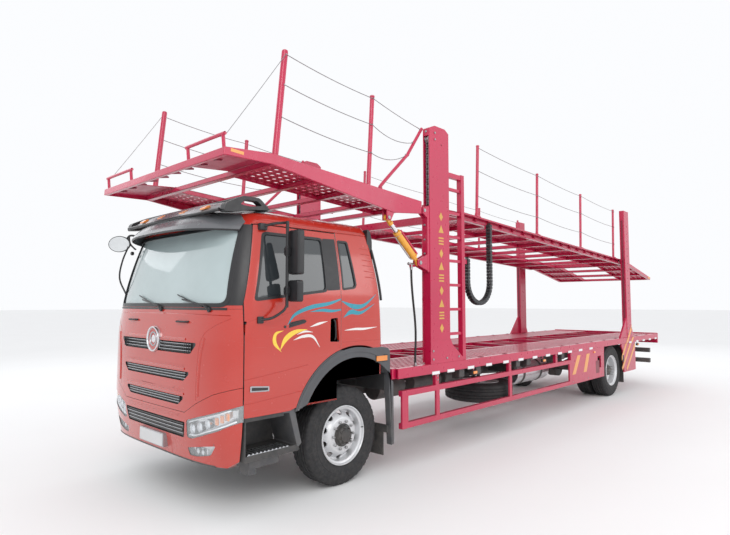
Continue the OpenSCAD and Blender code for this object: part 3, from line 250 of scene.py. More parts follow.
DECK = (0.49, 0.008, 0.060)
CAB = (0.47, 0.026, 0.014)
mats = {
    "deck_red": paint("deck paint", DECK, rough=0.30, coat=0.4, chips=0.6, dust=0.16, dust_top=1.0,
                      fade=0.12),
    # Darker copy of the deck paint for slots, holes, inner webs and undersides: painted shade. Its dust and
    # chips are real wear.
    "deck_painted_shade": paint("deck paint in painted shade", (0.20, 0.012, 0.035), rough=0.5, coat=0.1, dust=0.4, fade=0.25,
                       chips=1.0),
    "track_red": paint("wheel track paint", (0.44, 0.018, 0.07), rough=0.42, coat=0.2, dust=0.25,
                       dust_top=4.0,
                       fade=0.3, chips=1.0),
    "cab_red": paint("cab paint", CAB, rough=0.2, coat=0.9, dust=0.12, dust_top=0.9, fade=0.06, peel=0.02),
    "chassis_dark": paint("chassis paint", (0.035, 0.036, 0.04), rough=0.5, coat=0.05, dust=0.5, fade=0.3),
    "wheel_silver": paint("wheel paint", (0.68, 0.69, 0.71), rough=0.3, coat=0.3, metallic=0.4, dust=0.18,
                          fade=0.1),
    "tyre": rubber("tyre rubber"),
    "black_plastic": plastic("black plastic", (0.028, 0.029, 0.032)),
    "satin_black": plastic("satin black", (0.018, 0.018, 0.02), rough=0.35, strength=0.08),
    "dark_grey": plastic("arch trim plastic", (0.075, 0.078, 0.085), rough=0.5),
    "visor_grey": plastic("visor plastic", (0.14, 0.145, 0.155), rough=0.22, grain=200, strength=0.01,
                          fade=0.06, dust=0.0),
    # Side panes as an opaque near-black gloss: the tint plus painted shade of the cabin behind
    "tinted_glass": glass("side glass, tint and painted shade", (0.03, 0.036, 0.04), 1.0),
    # Windscreen in a pale colour at 80% cover: painted reflection over the glass
    "screen_glass": glass("windscreen glass, painted reflection", (0.50, 0.60, 0.61), 0.80, 0.06),
    "mirror_glass": metal("mirror glass", (0.85, 0.87, 0.88), rough=0.12, dust=0.0),
    "lamp_clear": glass("lamp cover", (0.75, 0.78, 0.80), 0.22),
    "lamp_white": lens("lamp optics", (0.80, 0.83, 0.88), glow=0.15),
    "lamp_orange": lens("orange lens", (0.85, 0.26, 0.03), glow=0.1),
    "lamp_red": lens("red lens", (0.55, 0.015, 0.015), glow=0.05),
    "chrome": metal("chrome", (0.78, 0.79, 0.81), rough=0.16, strength=0.03, dust=0.05),
    "steel": metal("bare steel", (0.42, 0.42, 0.43), rough=0.38),
    "tank_alloy": metal("brushed aluminium", (0.66, 0.67, 0.69), rough=0.3, brushed=(0.3, 6, 6)),
    "cabin_plastic": plastic("cabin plastic", (0.075, 0.077, 0.08), rough=0.6, dust=0.0),
    "cabin_light": plastic("cabin lining", (0.30, 0.30, 0.29), rough=0.8, dust=0.0, grain=400),
    "seat_fabric": fabric("seat fabric", (0.075, 0.078, 0.09)),
    "seat_side": fabric("seat bolster fabric", (0.20, 0.045, 0.035)),
    "cylinder_yellow": paint("cylinder paint", (0.78, 0.36, 0.035), rough=0.3, coat=0.4, dust=0.0, fade=0.12,
                             chips=0.6),
    "rod_chrome": metal("rod chrome", (0.80, 0.80, 0.82), rough=0.12, strength=0.02, dust=0.0),
    "hose_rubber": rubber("hose rubber", (0.014, 0.014, 0.015), dust=0.15),
    # Reflectors get a faint glow though they give no light of their own: painted light
    "reflector": lens("white reflector with painted glow", (0.78, 0.78, 0.80), glow=0.05, ribs=300),
    "stripe": paint("light orange stripe", (0.82, 0.36, 0.10), rough=0.4, coat=0.2, dust=0.3, fade=0.08),
    "gold": paint("gold mark", (0.62, 0.34, 0.06), rough=0.35, coat=0.3, dust=0.0, fade=0.1),
    "teal": paint("teal stripe", (0.02, 0.27, 0.36), rough=0.25, coat=0.6, dust=0.0),
    "yellow": paint("yellow stripe", (0.82, 0.56, 0.05), rough=0.25, coat=0.6, dust=0.0),
    "white": paint("white stripe", (0.75, 0.74, 0.72), rough=0.3, coat=0.5, dust=0.05),
    "wire": metal("wire rope", (0.30, 0.29, 0.30), rough=0.4, dust=0.0),
    "plate_white": paint("blank plate", (0.62, 0.63, 0.64), rough=0.35, coat=0.2, dust=0.2),
    "silver_trim": paint("silver trim", (0.42, 0.43, 0.45), rough=0.26, coat=0.4, metallic=0.7, dust=0.15),
}


# ---------------------------------------------------------------- shapes

def bevelled(verts, faces, width, segments=1):
    """The same closed shape with its sharp edges rounded"""
    if not width:
        return verts, faces
    bm = bmesh.new()
    made = [bm.verts.new(v) for v in verts]
    for f in faces:
        bm.faces.new([made[i] for i in f])
    bm.normal_update()
    edges = [e for e in bm.edges if e.is_manifold and e.calc_face_angle(0) > 0.35]
    bmesh.ops.bevel(bm, geom=edges, offset=width, segments=segments, profile=0.5, affect="EDGES",
                    clamp_overlap=True)
    bm.verts.index_update()
    out = [v.co.copy() for v in bm.verts], [[v.index for v in f.verts] for f in bm.faces]
    bm.free()
    return out


def spun(a, b):
    """Two directions at right angles to the run from a to b, and the run itself"""
    along = (Vector(b) - Vector(a)).normalized()
    side = along.cross(Vector((0, 0, 1)) if abs(along.z) < 0.9 else Vector((0, 1, 0))).normalized()
    return side, along.cross(side), along


class Shape:
    """Closed solids gathered into one mesh"""

    def __init__(self, place=None):
        self.verts, self.faces, self.paints, self.names = [], [], [], []
        self.place = place or Matrix.Identity(4)
        self.side = 1
        self.use("deck_red")

    def use(self, name):
        if name not in self.names:
            self.names.append(name)
        self.paint = self.names.index(name)
        return self

    def add(self, verts, faces):
        base = len(self.verts)
        for v in verts:
            v = self.place @ Vector(v)
            self.verts.append(Vector((v.x * self.side, v.y, v.z)))
        for f in faces:
            f = [base + i for i in f]
            self.faces.append(f if self.side > 0 else f[::-1])
        self.paints += [self.paint] * len(faces)
        return self

    def both(self, draw):
        for self.side in (1, -1):
            draw(self)
        self.side = 1
        return self

    def box(self, low, high, bevel=3.0, segments=1):
        (a, b, c), (d, e, f) = low, high
        verts = [(a, b, c), (d, b, c), (d, e, c), (a, e, c), (a, b, f), (d, b, f), (d, e, f), (a, e, f)]
        faces = [(0, 3, 2, 1), (4, 5, 6, 7), (0, 1, 5, 4), (1, 2, 6, 5), (2, 3, 7, 6), (3, 0, 4, 7)]
        return self.add(*bevelled(verts, faces, min(bevel, (d - a) * 0.3, (e - b) * 0.3, (f - c) * 0.3),
                                  segments))

    def prism(self, axis, a, b, points, bevel=3.0, segments=1):
        """A flat outline pushed along an axis; points are the other two coordinates in order"""
        area = sum(p[0] * q[1] - q[0] * p[1] for p, q in zip(points, points[1:] + points[:1]))
        if (area > 0) == (axis == "y"):
            points = points[::-1]
        put = {"x": lambda t, p: (t, p[0], p[1]), "y": lambda t, p: (p[0], t, p[1]), "z": lambda t,
               p: (p[0], p[1], t)}[axis]
        n = len(points)
        verts = [put(a, p) for p in points] + [put(b, p) for p in points]
        faces = [list(range(n))[::-1], [n + i for i in range(n)]]
        faces += [[i, (i + 1) % n, n + (i + 1) % n, n + i] for i in range(n)]
        return self.add(*bevelled(verts, faces, min(bevel, abs(b - a) * 0.3), segments))

    def bar(self, a, b, radius, sides=14, end=None):
        """Round bar with softened ends"""
        end = radius if end is None else end
        a, b = Vector(a), Vector(b)
        side, up, along = spun(a, b)
        soft = min(radius, end) * 0.18
        rings = [(a, radius - soft), (a + along * soft, radius), (b - along * soft, end), (b, end - soft)]
        return self.rings([[c + (side * math.cos(t) + up * math.sin(t)) * r
                            for t in (math.tau * k / sides for k in range(sides))] for c, r in rings])

    def rings(self, rings, closed=False):
        n = len(rings[0])
        verts = [v for ring in rings for v in ring]
        faces = []
        last = len(rings)
        for i in range(last if closed else last - 1):
            j = (i + 1) % last
            faces += [[i * n + k, i * n + (k + 1) % n, j * n + (k + 1) % n, j * n + k] for k in range(n)]
        if not closed:
            faces += [list(range(n))[::-1], [(last - 1) * n + k for k in range(n)]]
        return self.add(verts, faces)

    def tube(self, path, radius, sides=10):
        """Round tube along a list of points"""
        path = [Vector(p) for p in path]
        rings, side = [], None
        for i, p in enumerate(path):
            along = (path[min(i + 1, len(path) - 1)] - path[max(i - 1, 0)]).normalized()
            if side is None:
                side = spun(p, p + along)[0]
            side = (side - along * side.dot(along)).normalized()
            up = along.cross(side)
            rings.append([p + (side * math.cos(t) + up * math.sin(t)) * radius
                          for t in (math.tau * k / sides for k in range(sides))])
        return self.rings(rings)

    def lathe(self, centre, profile, sides=64, axis="x"):
        """Closed profile of (radius, distance along the axis) turned round the axis"""
        rings = []
        for k in range(sides):
            t = math.tau * k / sides
            c, s = math.cos(t), math.sin(t)
            if axis == "x":
                ring = [(centre[0] + d, centre[1] + r * c, centre[2] + r * s) for r, d in profile]
            elif axis == "z":
                ring = [(centre[0] + r * c, centre[1] + r * s, centre[2] + d) for r, d in profile]
            else:
                ring = [(centre[0] + r * s, centre[1] + d, centre[2] + r * c) for r, d in profile]
            rings.append(ring)
        area = sum(p[0] * q[1] - q[0] * p[1] for p, q in zip(profile, profile[1:] + profile[:1]))
        return self.rings(rings if area > 0 else rings[::-1], closed=True)

    def disc(self, centre, radius, thick, axis="x", sides=32, bevel=None):
        soft = min(radius, abs(thick)) * 0.2 if bevel is None else bevel
        t = thick
        s = math.copysign(soft, thick)
        profile = [(0.01, 0), (radius - soft, 0), (radius, s), (radius, t - s), (radius - soft, t),
                   (0.01, t)]
        return self.lathe(centre, profile, sides, axis)

    def nut(self, centre, radius, thick, axis="x"):
        """Hexagon nut with the end of its stud"""
        self.disc(centre, radius, thick, axis, 6)
        grow = {"x": (thick, 0, 0), "y": (0, thick, 0), "z": (0, 0, thick)}[axis]
        return self.disc([c + g * 0.9 for c, g in zip(centre, grow)], radius * 0.5, thick * 0.45, axis, 10)

    def ball(self, centre, radius, sides=12):
        profile = [(max(radius * math.sin(math.pi * k / 8), 0.01), -radius * math.cos(math.pi * k / 8))
                   for k in range(9)]
        return self.lathe(centre, profile, sides, "z")

    def holed(self, x0, x1, y0, y1, z0, z1, nx, ny, radius):
        """Plate with a grid of round holes"""
        sx, sy = (x1 - x0) / nx, (y1 - y0) / ny
        ring = [(math.cos(math.tau * k / 8), math.sin(math.tau * k / 8)) for k in range(8)]
        verts, faces = [], []
        for i in range(nx):
            for j in range(ny):
                cx, cy = x0 + (i + 0.5) * sx, y0 + (j + 0.5) * sy
                base = len(verts)
                for z in (z1, z0):
                    for c, s in ring:
                        big = max(abs(c), abs(s))
                        verts.append((cx + c / big * sx / 2, cy + s / big * sy / 2, z))
                    verts += [(cx + c * radius, cy + s * radius, z) for c, s in ring]
                for k in range(8):
                    m = (k + 1) % 8
                    a, b, c, d = base + k, base + m, base + 8 + m, base + 8 + k
                    faces += [[a, b, c, d], [a + 16, d + 16, c + 16, b + 16], [d, c, c + 16, d + 16]]
        self.add(verts, faces)
        edge = [(x0, y0), (x1, y0), (x1, y1), (x0, y1)]
        wall = [(x, y, z) for z in (z0, z1) for x, y in edge]
        return self.add(wall, [[k, (k + 1) % 4, 4 + (k + 1) % 4, 4 + k] for k in range(4)])


def smooth_run(points, steps):
    """Points along a smooth curve through the given ones"""
    pts = [Vector(p) for p in points]
    pts = [pts[0] * 2 - pts[1]] + pts + [pts[-1] * 2 - pts[-2]]
    out = []
    for i in range(1, len(pts) - 2):
        a, b, c, d = pts[i - 1:i + 3]
        for k in range(steps):
            t = k / steps
            square, cube = 2 * a - 5 * b + 4 * c - d, 3 * b - a - 3 * c + d
            out.append(0.5 * (2 * b + (c - a) * t + square * t ** 2 + cube * t ** 3))
    return out + [pts[-2]]


def finished(mesh, sharp=32):
    mesh.polygons.foreach_set("use_smooth", [True] * len(mesh.polygons))
    mesh.set_sharp_from_angle(angle=math.radians(sharp))
    mesh.update()


def as_mesh(shape):
    """The shape as a mesh in millimetres, for cutting"""
    mesh = bpy.data.meshes.new("cut")
    mesh.from_pydata([tuple(v) for v in shape.verts], [], shape.faces)
    mesh.polygons.foreach_set("material_index", shape.paints)
    return mesh


def cut(mesh, other, operation="DIFFERENCE"):
    """One mesh cut by, joined with or kept inside another"""
    a = bpy.data.objects.new("a", mesh)
    b = bpy.data.objects.new("b", other)
    for o in (a, b):
        scene.collection.objects.link(o)
    m = a.modifiers.new("cut", "BOOLEAN")
    m.operation, m.solver, m.object = operation, "MANIFOLD", b
    out = bpy.data.meshes.new_from_object(a.evaluated_get(bpy.context.evaluated_depsgraph_get()))
    for o in (a, b):
        bpy.data.objects.remove(o)
    return out


def put(name, body, slot, shape=None, mesh=None, names=None, replaces=(), sharp=32, weighted=True,
        metres=False):
    """Makes a finished piece of a shape or a mesh, riding on its body"""
    if mesh is None:
        mesh, names = as_mesh(shape), shape.names
    mesh = mesh.copy()
    mesh.name = name
    if not metres:
        mesh.transform(Matrix.Translation((0, FRONT_AXLE / 1000, 0)) @ Matrix.Scale(0.001, 4))
    paints = [p.material_index for p in mesh.polygons]
    mesh.materials.clear()
    for n in names:
        mesh.materials.append(mats[n])
    mesh.polygons.foreach_set("material_index", paints)
    finished(mesh, sharp)
    obj = bpy.data.objects.new(name, mesh)
    scene.collection.objects.link(obj)
    if weighted:
        m = obj.modifiers.new("normals", "WEIGHTED_NORMAL")
        m.keep_sharp = True
    if body:
        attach(obj, body)
    if replaces:
        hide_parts(*replaces)
    return obj


# ---------------------------------------------------------------- lift hose

HOSE = [(1195, 1040, 2300), (1195, 1040, 2260), (1195, 1041, 2200), (1195, 1045, 2120), (1196, 1052, 2040),
        (1197, 1062, 1950),
        (1199, 1074, 1850), (1202, 1086, 1750), (1206, 1094, 1650), (1210, 1097, 1550), (1213, 1094, 1450),
        (1215, 1088, 1360),
        (1215, 1083, 1270), (1215, 1080, 1190), (1215, 1080, 1135)]
HOSE_RADIUS = 13.0
hose_shape = Shape().use("hose_rubber")
hose_shape.tube(smooth_run(HOSE, 5), HOSE_RADIUS, 16)
hose = put("lift_hose_line", "root", "hose_rubber", hose_shape, replaces=("lift_hose",), sharp=50)
fitting = Shape().use("steel")
fitting.bar((1195, 1040, 2262), (1195, 1040, 2330), 17, 16).bar((1215, 1080, 1128), (1215, 1080, 1172), 17,
                                                                16)
fitting.lathe((1195, 1040, 2282), [(14, 0), (22, 0), (22, 16), (14, 16)], 6, "z")
fitting.bar((1195, 1000, 2334), (1195, 1086, 2334), 14, 16).nut((1195, 1000, 2334), 18, -18, "y")
fitting.lathe((1215, 1080, 1135), [(14, 0), (24, 0), (24, 10), (14, 10)], 6, "z")
put("hose_fittings", "root", "hose_rubber", fitting)


# ---------------------------------------------------------------- cab

def smooth_table(table):
    """Smooth curve through a table, without overshoot"""
    xs, ys = [t[0] for t in table], [t[1] for t in table]
    runs = [(ys[i + 1] - ys[i]) / (xs[i + 1] - xs[i]) for i in range(len(xs) - 1)]
    slopes = [runs[0]] + [2 * a * b / (a + b) if a * b > 0 else 0.0 for a,
                          b in zip(runs, runs[1:])] + [runs[-1]]

    def at(x):
        x = min(max(x, xs[0]), xs[-1])
        i = max(k for k in range(len(xs) - 1) if xs[k] <= x)
        h = xs[i + 1] - xs[i]
        t = (x - xs[i]) / h
        return ((1 + 2 * t) * (1 - t) ** 2 * ys[i] + t * (1 - t) ** 2 * h * slopes[i]
                + t * t * (3 - 2 * t) * ys[i + 1] + t * t * (t - 1) * h * slopes[i + 1])
    return at


cab_front = smooth_table([(440, -1468), (900, -1525), (1500, -1520), (1820, -1480), (2600, -1290),
                          (2700, -1240),
                          (2755, -1130)])
cab_side = smooth_table([(440, 1205), (900, 1225), (1850, 1225), (2560, 1120), (2700, 1060), (2755, 895)])
cab_back = smooth_table([(440, 500), (1450, 500), (2560, 390), (2700, 350), (2755, 240)])
NOSE = 450
ROOF = 2755
CAB_LEVELS = [440 + 40 * k for k in range(56)] + [2662, 2682, 2700, 2716, 2729, 2740, 2748, 2753]


def cab_x(y, z):
    """Half width of the cab's skin at a place"""
    t = min(max((cab_front(z) + NOSE - y) / NOSE, 0), 1)
    return cab_side(z) * (1 - t ** 4) ** 0.25


def nose_y(x, z):
    """Front of the cab's skin at a place"""
    u = min(abs(x) / cab_side(z), 1)
    return cab_front(z) + NOSE - NOSE * (1 - u ** 4) ** 0.25


def cab_ring(z, inset):
    half, front, back = cab_side(z) - inset, cab_front(z) + inset, cab_back(z) - inset
    right = []
    for k in range(0, 31):
        a = math.radians(3 * k)
        drop = NOSE * math.cos(a) ** 0.5 if k < 30 else 0
        right.append((half * math.sin(a) ** 0.5, front + NOSE - drop))
    steps = 12
    right += [(half, front + NOSE + (back - 60 - front - NOSE) * k / steps) for k in range(1, steps + 1)]
    right += [(half - 60 + 60 * math.cos(a), back - 60 + 60 * math.sin(a)) for a in
              (math.radians(18 * k) for k in range(1, 6))]
    right += [((half - 60) * (1 - k / 6), back) for k in range(1, 6)]
    left = [(-x, y) for x, y in right[1:]]
    return [(x, y, z) for x, y in right] + [(0, back, z)] + [(x, y, z) for x, y in left[::-1]]


solids = {}


def cab_solid(inset):
    if inset not in solids:
        top = ROOF - inset
        rings = [cab_ring(z, inset) for z in CAB_LEVELS if z < top - 1] + [cab_ring(top, inset)]
        for k, scale in enumerate((0.75, 0.45, 0.12)):
            mid = (cab_front(ROOF) + cab_back(ROOF)) / 2
            rings.append([(x * scale, mid + (y - mid) * scale, top + 3 * (k + 1) ** 0.5) for x, y,
                          z in rings[-1 - k]])
        solids[inset] = as_mesh(Shape().rings(rings))
    return solids[inset].copy()


def prism_mesh(axis, a, b, *outlines):
    shape = Shape()
    for points in outlines:
        shape.prism(axis, a, b, list(points), 0)
    return as_mesh(shape)


def box_mesh(low, high):
    return as_mesh(Shape().box(low, high, 0))


def rounded(points, radius, steps=5):
    """The outline with round corners"""
    out = []
    n = len(points)
    for i, p in enumerate(points):
        a, b = Vector(points[i - 1]), Vector(points[(i + 1) % n])
        p = Vector(p)
        r = min(radius, (a - p).length * 0.45, (b - p).length * 0.45)
        start, end = p + (a - p).normalized() * r, p + (b - p).normalized() * r
        out += [tuple(start * (1 - t) ** 2 + p * 2 * t * (1 - t) + end * t * t)
                for t in (k / steps for k in range(steps + 1))]
    return out


def grown(points, by):
    """The outline moved outwards"""
    n = len(points)
    area = sum(p[0] * q[1] - q[0] * p[1] for p, q in zip(points, points[1:] + points[:1]))
    sign = 1 if area > 0 else -1
    out = []
    for i in range(n):
        p, q, r = Vector(points[i - 1]), Vector(points[i]), Vector(points[(i + 1) % n])
        a, b = (q - p).normalized(), (r - q).normalized()
        na, nb = Vector((a.y, -a.x)) * sign, Vector((b.y, -b.x)) * sign
        m = (na + nb)
        m = m.normalized() if m.length > 0.01 else na
        out.append(tuple(q + m * by / max(m.dot(na), 0.4)))
    return out


SIDE_NEAR, SIDE_FAR = 600, 1400


def side_cut(side, *outlines):
    a, b = sorted((side * SIDE_NEAR, side * SIDE_FAR))
    return prism_mesh("x", a, b, *outlines)


def cab_part(outer, inner, keep=(), away=()):
    """Part of the cab's skin between two depths, kept inside some meshes and cut by others"""
    mesh = cab_solid(outer)
    for m in keep:
        mesh = cut(mesh, m, "INTERSECT")
    mesh = cut(mesh, cab_solid(inner))
    for m in away:
        mesh = cut(mesh, m)
    return mesh


DOOR_GAP = 10
ARCH = (80, 560, 870)


def arch_point(degrees, radius):
    a = math.radians(degrees)
    return (ARCH[0] + radius * math.cos(a), ARCH[1] + radius * math.sin(a))


def door_outline(gap):
    corners = [(-1285 - gap, 880 - gap), (-1285 - gap, 1880), (-1120 - gap * 1.4, 2590 + gap),
               (-140 + gap, 2590 + gap)]
    return corners + [arch_point(105 + step * 2, ARCH[2] - gap) for step in range(27)] + [(-800, 880 - gap)]


DOOR_WINDOW = rounded([(-1190, 1895), (-1050, 2520), (-330, 2520), (-330, 1990)], 45)
QUARTER = rounded([(-110, 2010), (-110, 2515), (25, 2515), (85, 2060), (60, 2030)], 25)
SCREEN = [(-1090, 1850), (-1010, 2580), (1010, 2580), (1090, 1850)]
SCREEN_ROUND = rounded(SCREEN, 90)
PANEL_REAR = -1295
GRILLE = [(945, 1025), (1165, 1250), (1412, 1515)]
EMBLEM_Z, EMBLEM_R = 1520, 128
DOT_PITCH, DOT_R = 31, 5
GRILLE_BARS = 3
LAMP = [(648, 822), (636, 668), (700, 662), (850, 706), (1050, 772), (1240, 866), (1240, 1004), (1150, 966),
        (985, 915),
        (800, 866)]
FOG = [(650, 506), (622, 572), (840, 612), (1010, 640), (940, 548), (760, 512)]
SEAM = [(-1300, 1164), (-1215, 1146), (-1000, 1080), (-790, 985), (-620, 890), (620, 890), (790, 985),
        (1000, 1080),
        (1215, 1146), (1300, 1164)]


def band_outline(low, high, half=None):
    half = half or 560 + (high - 945) * 0.36
    return rounded([(-half + 85, low), (-half, high - 22), (-half + 4, high), (half - 4, high),
                    (half, high - 22),
                    (half - 85, low)], 16, 3)


def mirrored(points):
    return [(-x, z) for x, z in points]


def lined(mesh, names=("cab_red", "cabin_light")):
    """Paints the faces inside the skin with the lining"""
    for p in mesh.polygons:
        c = p.center
        deep = abs(c.x) < cab_x(c.y, c.z) - 14 and c.y > nose_y(c.x, c.z) + 14
        deep = deep and c.z < ROOF - 14 and c.y < cab_back(c.z) - 14
        p.material_index = 1 if deep else 0
    return names


# Fixed shell of the cab
arch_cut = Shape().lathe((0, ARCH[0], ARCH[1]), [(0.01, 1000), (ARCH[2], 1000), (ARCH[2], 1400),
                                                 (0.01, 1400)], 144)
arch_cut.lathe((0, ARCH[0], ARCH[1]), [(0.01, -1400), (ARCH[2], -1400), (ARCH[2], -1000), (0.01, -1000)],
               144)
shell = cab_part(0, 45, away=[
    box_mesh((-2000, -2000, 300), (2000, PANEL_REAR, 1819)),
    box_mesh((-2000, -1700, 300), (2000, 700, 905)),
    box_mesh((-2000, -200, 300), (2000, 700, 1100)),
    prism_mesh("y", -1900, -1050, SCREEN_ROUND),
    side_cut(1, door_outline(DOOR_GAP)), side_cut(-1, door_outline(DOOR_GAP)),
    side_cut(1, QUARTER), side_cut(-1, QUARTER),
    as_mesh(arch_cut),
    prism_mesh("y", 250, 700, rounded([(-700, 1900), (-640, 2450), (640, 2450), (700, 1900)], 60)),
])
# Louvre grooves on the rear upper quarters, the roof seam and the gutter line
grooves = Shape()
for side in (1, -1):
    for k in range(6):
        z = 2150 + 62 * k
        y0 = 235 - 6 * k
        grooves.tube([(side * (cab_x(y, z - (y - y0) * 0.06) + 1), y, z - (y - y0) * 0.06)
                      for y in [y0 + d for d in range(0, 150, 12)]], 5, 6)
    grooves.tube([(side * (cab_x(y, 2640) + 1), y, 2640) for y in range(-1080, 330, 30)], 4, 6)
    grooves.tube([(side * (cab_x(y, 1470) + 1.5), y, 1470) for y in range(-125, 480, 30)], 4.5, 6)
shell = cut(shell, as_mesh(grooves))
put("cab_skin", "root", "cab_red", mesh=shell, names=lined(shell), replaces=["cab_shell"], sharp=28)

# Floor, feet of the cab, hinge lugs and the ring that carries the front panel
under = Shape().use("cabin_plastic")
under.box((-1183, -1240, 1100), (1183, 470, 1150), 6)
for k in range(12):
    under.box((-900, -1180 + 52 * k, 1150), (900, -1160 + 52 * k, 1154), 1)
under.use("chassis_dark")


def under_side(s):
    s.box((350, -1040, 1000), (430, -940, 1100), 6).box((350, 300, 1000), (430, 400, 1100), 6)
    s.disc((390, -990, 1040), 60, 60, "z", 24)
    s.disc((390, 350, 1040), 60, 60, "z", 24)
    s.box((1080, -1340, 1025), (1104, -1300, 1815), 5)
    for z in (1090, 1650):
        for end in (-1, 1):
            s.disc((1191, -1261, z + end * 45 - 6), 12, 12, "z", 20)
            s.box((1092, -1273, z + end * 45 - 6), (1191, -1249, z + end * 45 + 6), 1.5)
        s.disc((1191, -1261, z - 50), 8, 100, "z", 16)
        s.box((1082, -1318, z - 51), (1100, -1247, z + 51), 2)


under.both(under_side)
put("cab_floor", "root", "cabin_plastic", under)

# Gutter rails, black trims on the rear corners and the air deflectors behind the cab
trim = Shape().use("cab_red")


def gutter(s):
    s.tube([(cab_x(y, 2606) + 5, y, 2606 + (y + 1080) * 0.006) for y in range(-1090, 340, 26)], 9, 8)
    s.use("satin_black")
    for lo, hi in ((2480, 2700), (1900, 2480)):
        s.tube([(cab_side(z) - 16, cab_back(z) + 8, z) for z in range(lo, hi, 20)], 14, 8)
    s.prism("x", cab_side(2560) - 40, cab_side(2560) + 8,
            rounded([(330, 2330), (350, 2690), (392, 2670), (425, 2560), (428, 2250), (408, 2240)], 20), 8,
            2)
    s.use("cab_red")


trim.both(gutter)
put("cab_gutters", "root", "cab_red", trim)

# Window glass and rubber seals
put("windscreen", "root", "tinted_glass", mesh=cab_part(12, 18,
                                                        keep=[prism_mesh("y", -1900, -1050, SCREEN_ROUND)]),
    names=["screen_glass"], replaces=["cab_glass"])
seal = cab_part(-4, 16, keep=[prism_mesh("y", -1900, -1050, rounded(grown(SCREEN, 16), 100))],
                away=[prism_mesh("y", -1900, -1050, rounded(grown(SCREEN, -20), 80))])
put("windscreen_seal", "root", "black_plastic", mesh=seal, names=["satin_black"])
frit = cab_part(18.5, 20, keep=[prism_mesh("y", -1900, -1050, rounded(grown(SCREEN, -2), 80))],
                away=[prism_mesh("y", -1900, -1050,
                                 rounded([(-985, 1910), (-935, 2470), (935, 2470), (985, 1910)], 110))])
put("windscreen_border", "root", "black_plastic", mesh=frit, names=["satin_black"])
for side, word in ((1, "left"), (-1, "right")):
    put(f"{word}_quarter_glass", "root", "tinted_glass",
        mesh=cab_part(10, 16, keep=[side_cut(side, QUARTER)]),
        names=["tinted_glass"])
    ring = cab_part(-2, 16, keep=[side_cut(side,
                                           rounded(grown([(-110, 2010), (-110, 2515), (25, 2515), (85, 2060),
                                                          (60, 2030)], 10), 30))],
                    away=[side_cut(side, grown(QUARTER, -12))])
    put(f"{word}_quarter_seal", "root", "black_plastic", mesh=ring, names=["satin_black"])
rear_window = Shape().use("tinted_glass").prism("y", 425, 431,
                                                rounded([(-690, 1905), (-632, 2445), (632, 2445),
                                                         (690, 1905)], 60), 1)
put("rear_glass", "root", "tinted_glass", rear_window)

# Front panel with its three bands of grille
panel = cab_part(0, 40, away=[
    prism_mesh("y", -2000, -900, SEAM + [(1300, 300), (-1300, 300)]),
    box_mesh((-2000, PANEL_REAR, 300), (2000, 2000, 3000)),
    box_mesh((-2000, -2000, 1817), (2000, 2000, 3000)),
    prism_mesh("y", -1800, -1300, *[band_outline(*band) for band in GRILLE]),
    as_mesh(Shape().disc((0, -1800, EMBLEM_Z), EMBLEM_R + 1, 400, "y", 64)),
])
lines = Shape()
for side in (1, -1):
    edge = [(1130, 1735), (990, 1670), (865, 1590), (810, 1450), (785, 1150), (790, 1010)]
    lines.tube([(side * x, nose_y(x, z) - 1, z) for x, z in smooth_run(edge, 16)], 5, 6)
lines.tube([(x, nose_y(x, 1775) - 1, 1775 - 12 * (x / 1000) ** 2) for x in range(-1120, 1121, 40)], 4.5, 6)
for z in (1048, 1066, 1084, 1272, 1290, 1308):
    for k in range(-19, 20):
        x = DOT_PITCH * k
        lines.disc((x, nose_y(x, z) - 4, z), DOT_R, 12, "y", 6)
panel = cut(panel, as_mesh(lines))
put("front_panel_skin", "root", "cab_red", mesh=panel, names=lined(panel, ("cab_red", "black_plastic")),
    replaces=["front_panel"], sharp=28)

# Raised shoulders that frame the grille and the corner panels
crease = Shape().use("cab_red")


def shoulders(s):
    for band, lift in ((GRILLE[2], 26), (GRILLE[1], 24), (GRILLE[0], 24)):
        run = [(x, band[1] + lift) for x in range(160 if band is GRILLE[2] else 0, 620, 40)]
        s.tube([(x, nose_y(x, z) + 5, z) for x, z in run], 13, 8)
    s.tube([(x, nose_y(x, z) + 5, z) for x, z in smooth_run([(880, 1560), (838, 1400), (816, 1200),
                                                             (814, 1050)], 16)], 14, 8)


crease.both(shoulders)
put("front_panel_creases", "root", "cab_red", crease)

grille = Shape().use("satin_black")
for low, high in GRILLE:
    reach = int(560 + (high - 945) * 0.36)
    grille.prism("y", -1500, -1462, band_outline(low - 10, high + 10, reach + 16), 2)
    for x in range(-reach + 60, reach - 59, 40):
        grille.box((x - 3, -1512, low + 10), (x + 3, -1490, high - 4), 1)
    for k in range(GRILLE_BARS):
        z = low + (high - low) * (k + 0.75) / (GRILLE_BARS + 0.5)
        grille.use("satin_black").tube([(x, nose_y(x, z) + 15, z - 8)
                                        for x in range(-reach + 60, reach - 59, 40)], 7, 8)
        grille.use("silver_trim").tube([(x, nose_y(x, z) + 7, z + 4)
                                        for x in range(-reach + 55, reach - 54, 35)], 4.2, 8)
        grille.use("satin_black")
put("grille_bars", "root", "black_plastic", grille, replaces=["grille"])

# Plain round badge: two rings and a dome
badge = Shape().use("chrome")
front = nose_y(0, EMBLEM_Z) - 8
badge.lathe((0, front, EMBLEM_Z), [(104, -4), (110, -16), (122, -16), (127, -4), (127, 30), (104, 30)], 72,
            "y")
badge.use("cab_red").lathe((0, front, EMBLEM_Z), [(0.01, -1), (104, -1), (104, 28), (0.01, 28)], 72, "y")
badge.use("silver_trim").lathe((0, front, EMBLEM_Z), [(56, -2), (60, -9), (70, -9), (74, -2)], 64, "y")
badge.use("chrome").lathe((0, front, EMBLEM_Z), [(0.01, -14), (16, -13), (30, -9), (38, -1), (0.01, -1)], 48,
                          "y")
put("badge", "root", "black_plastic", badge)

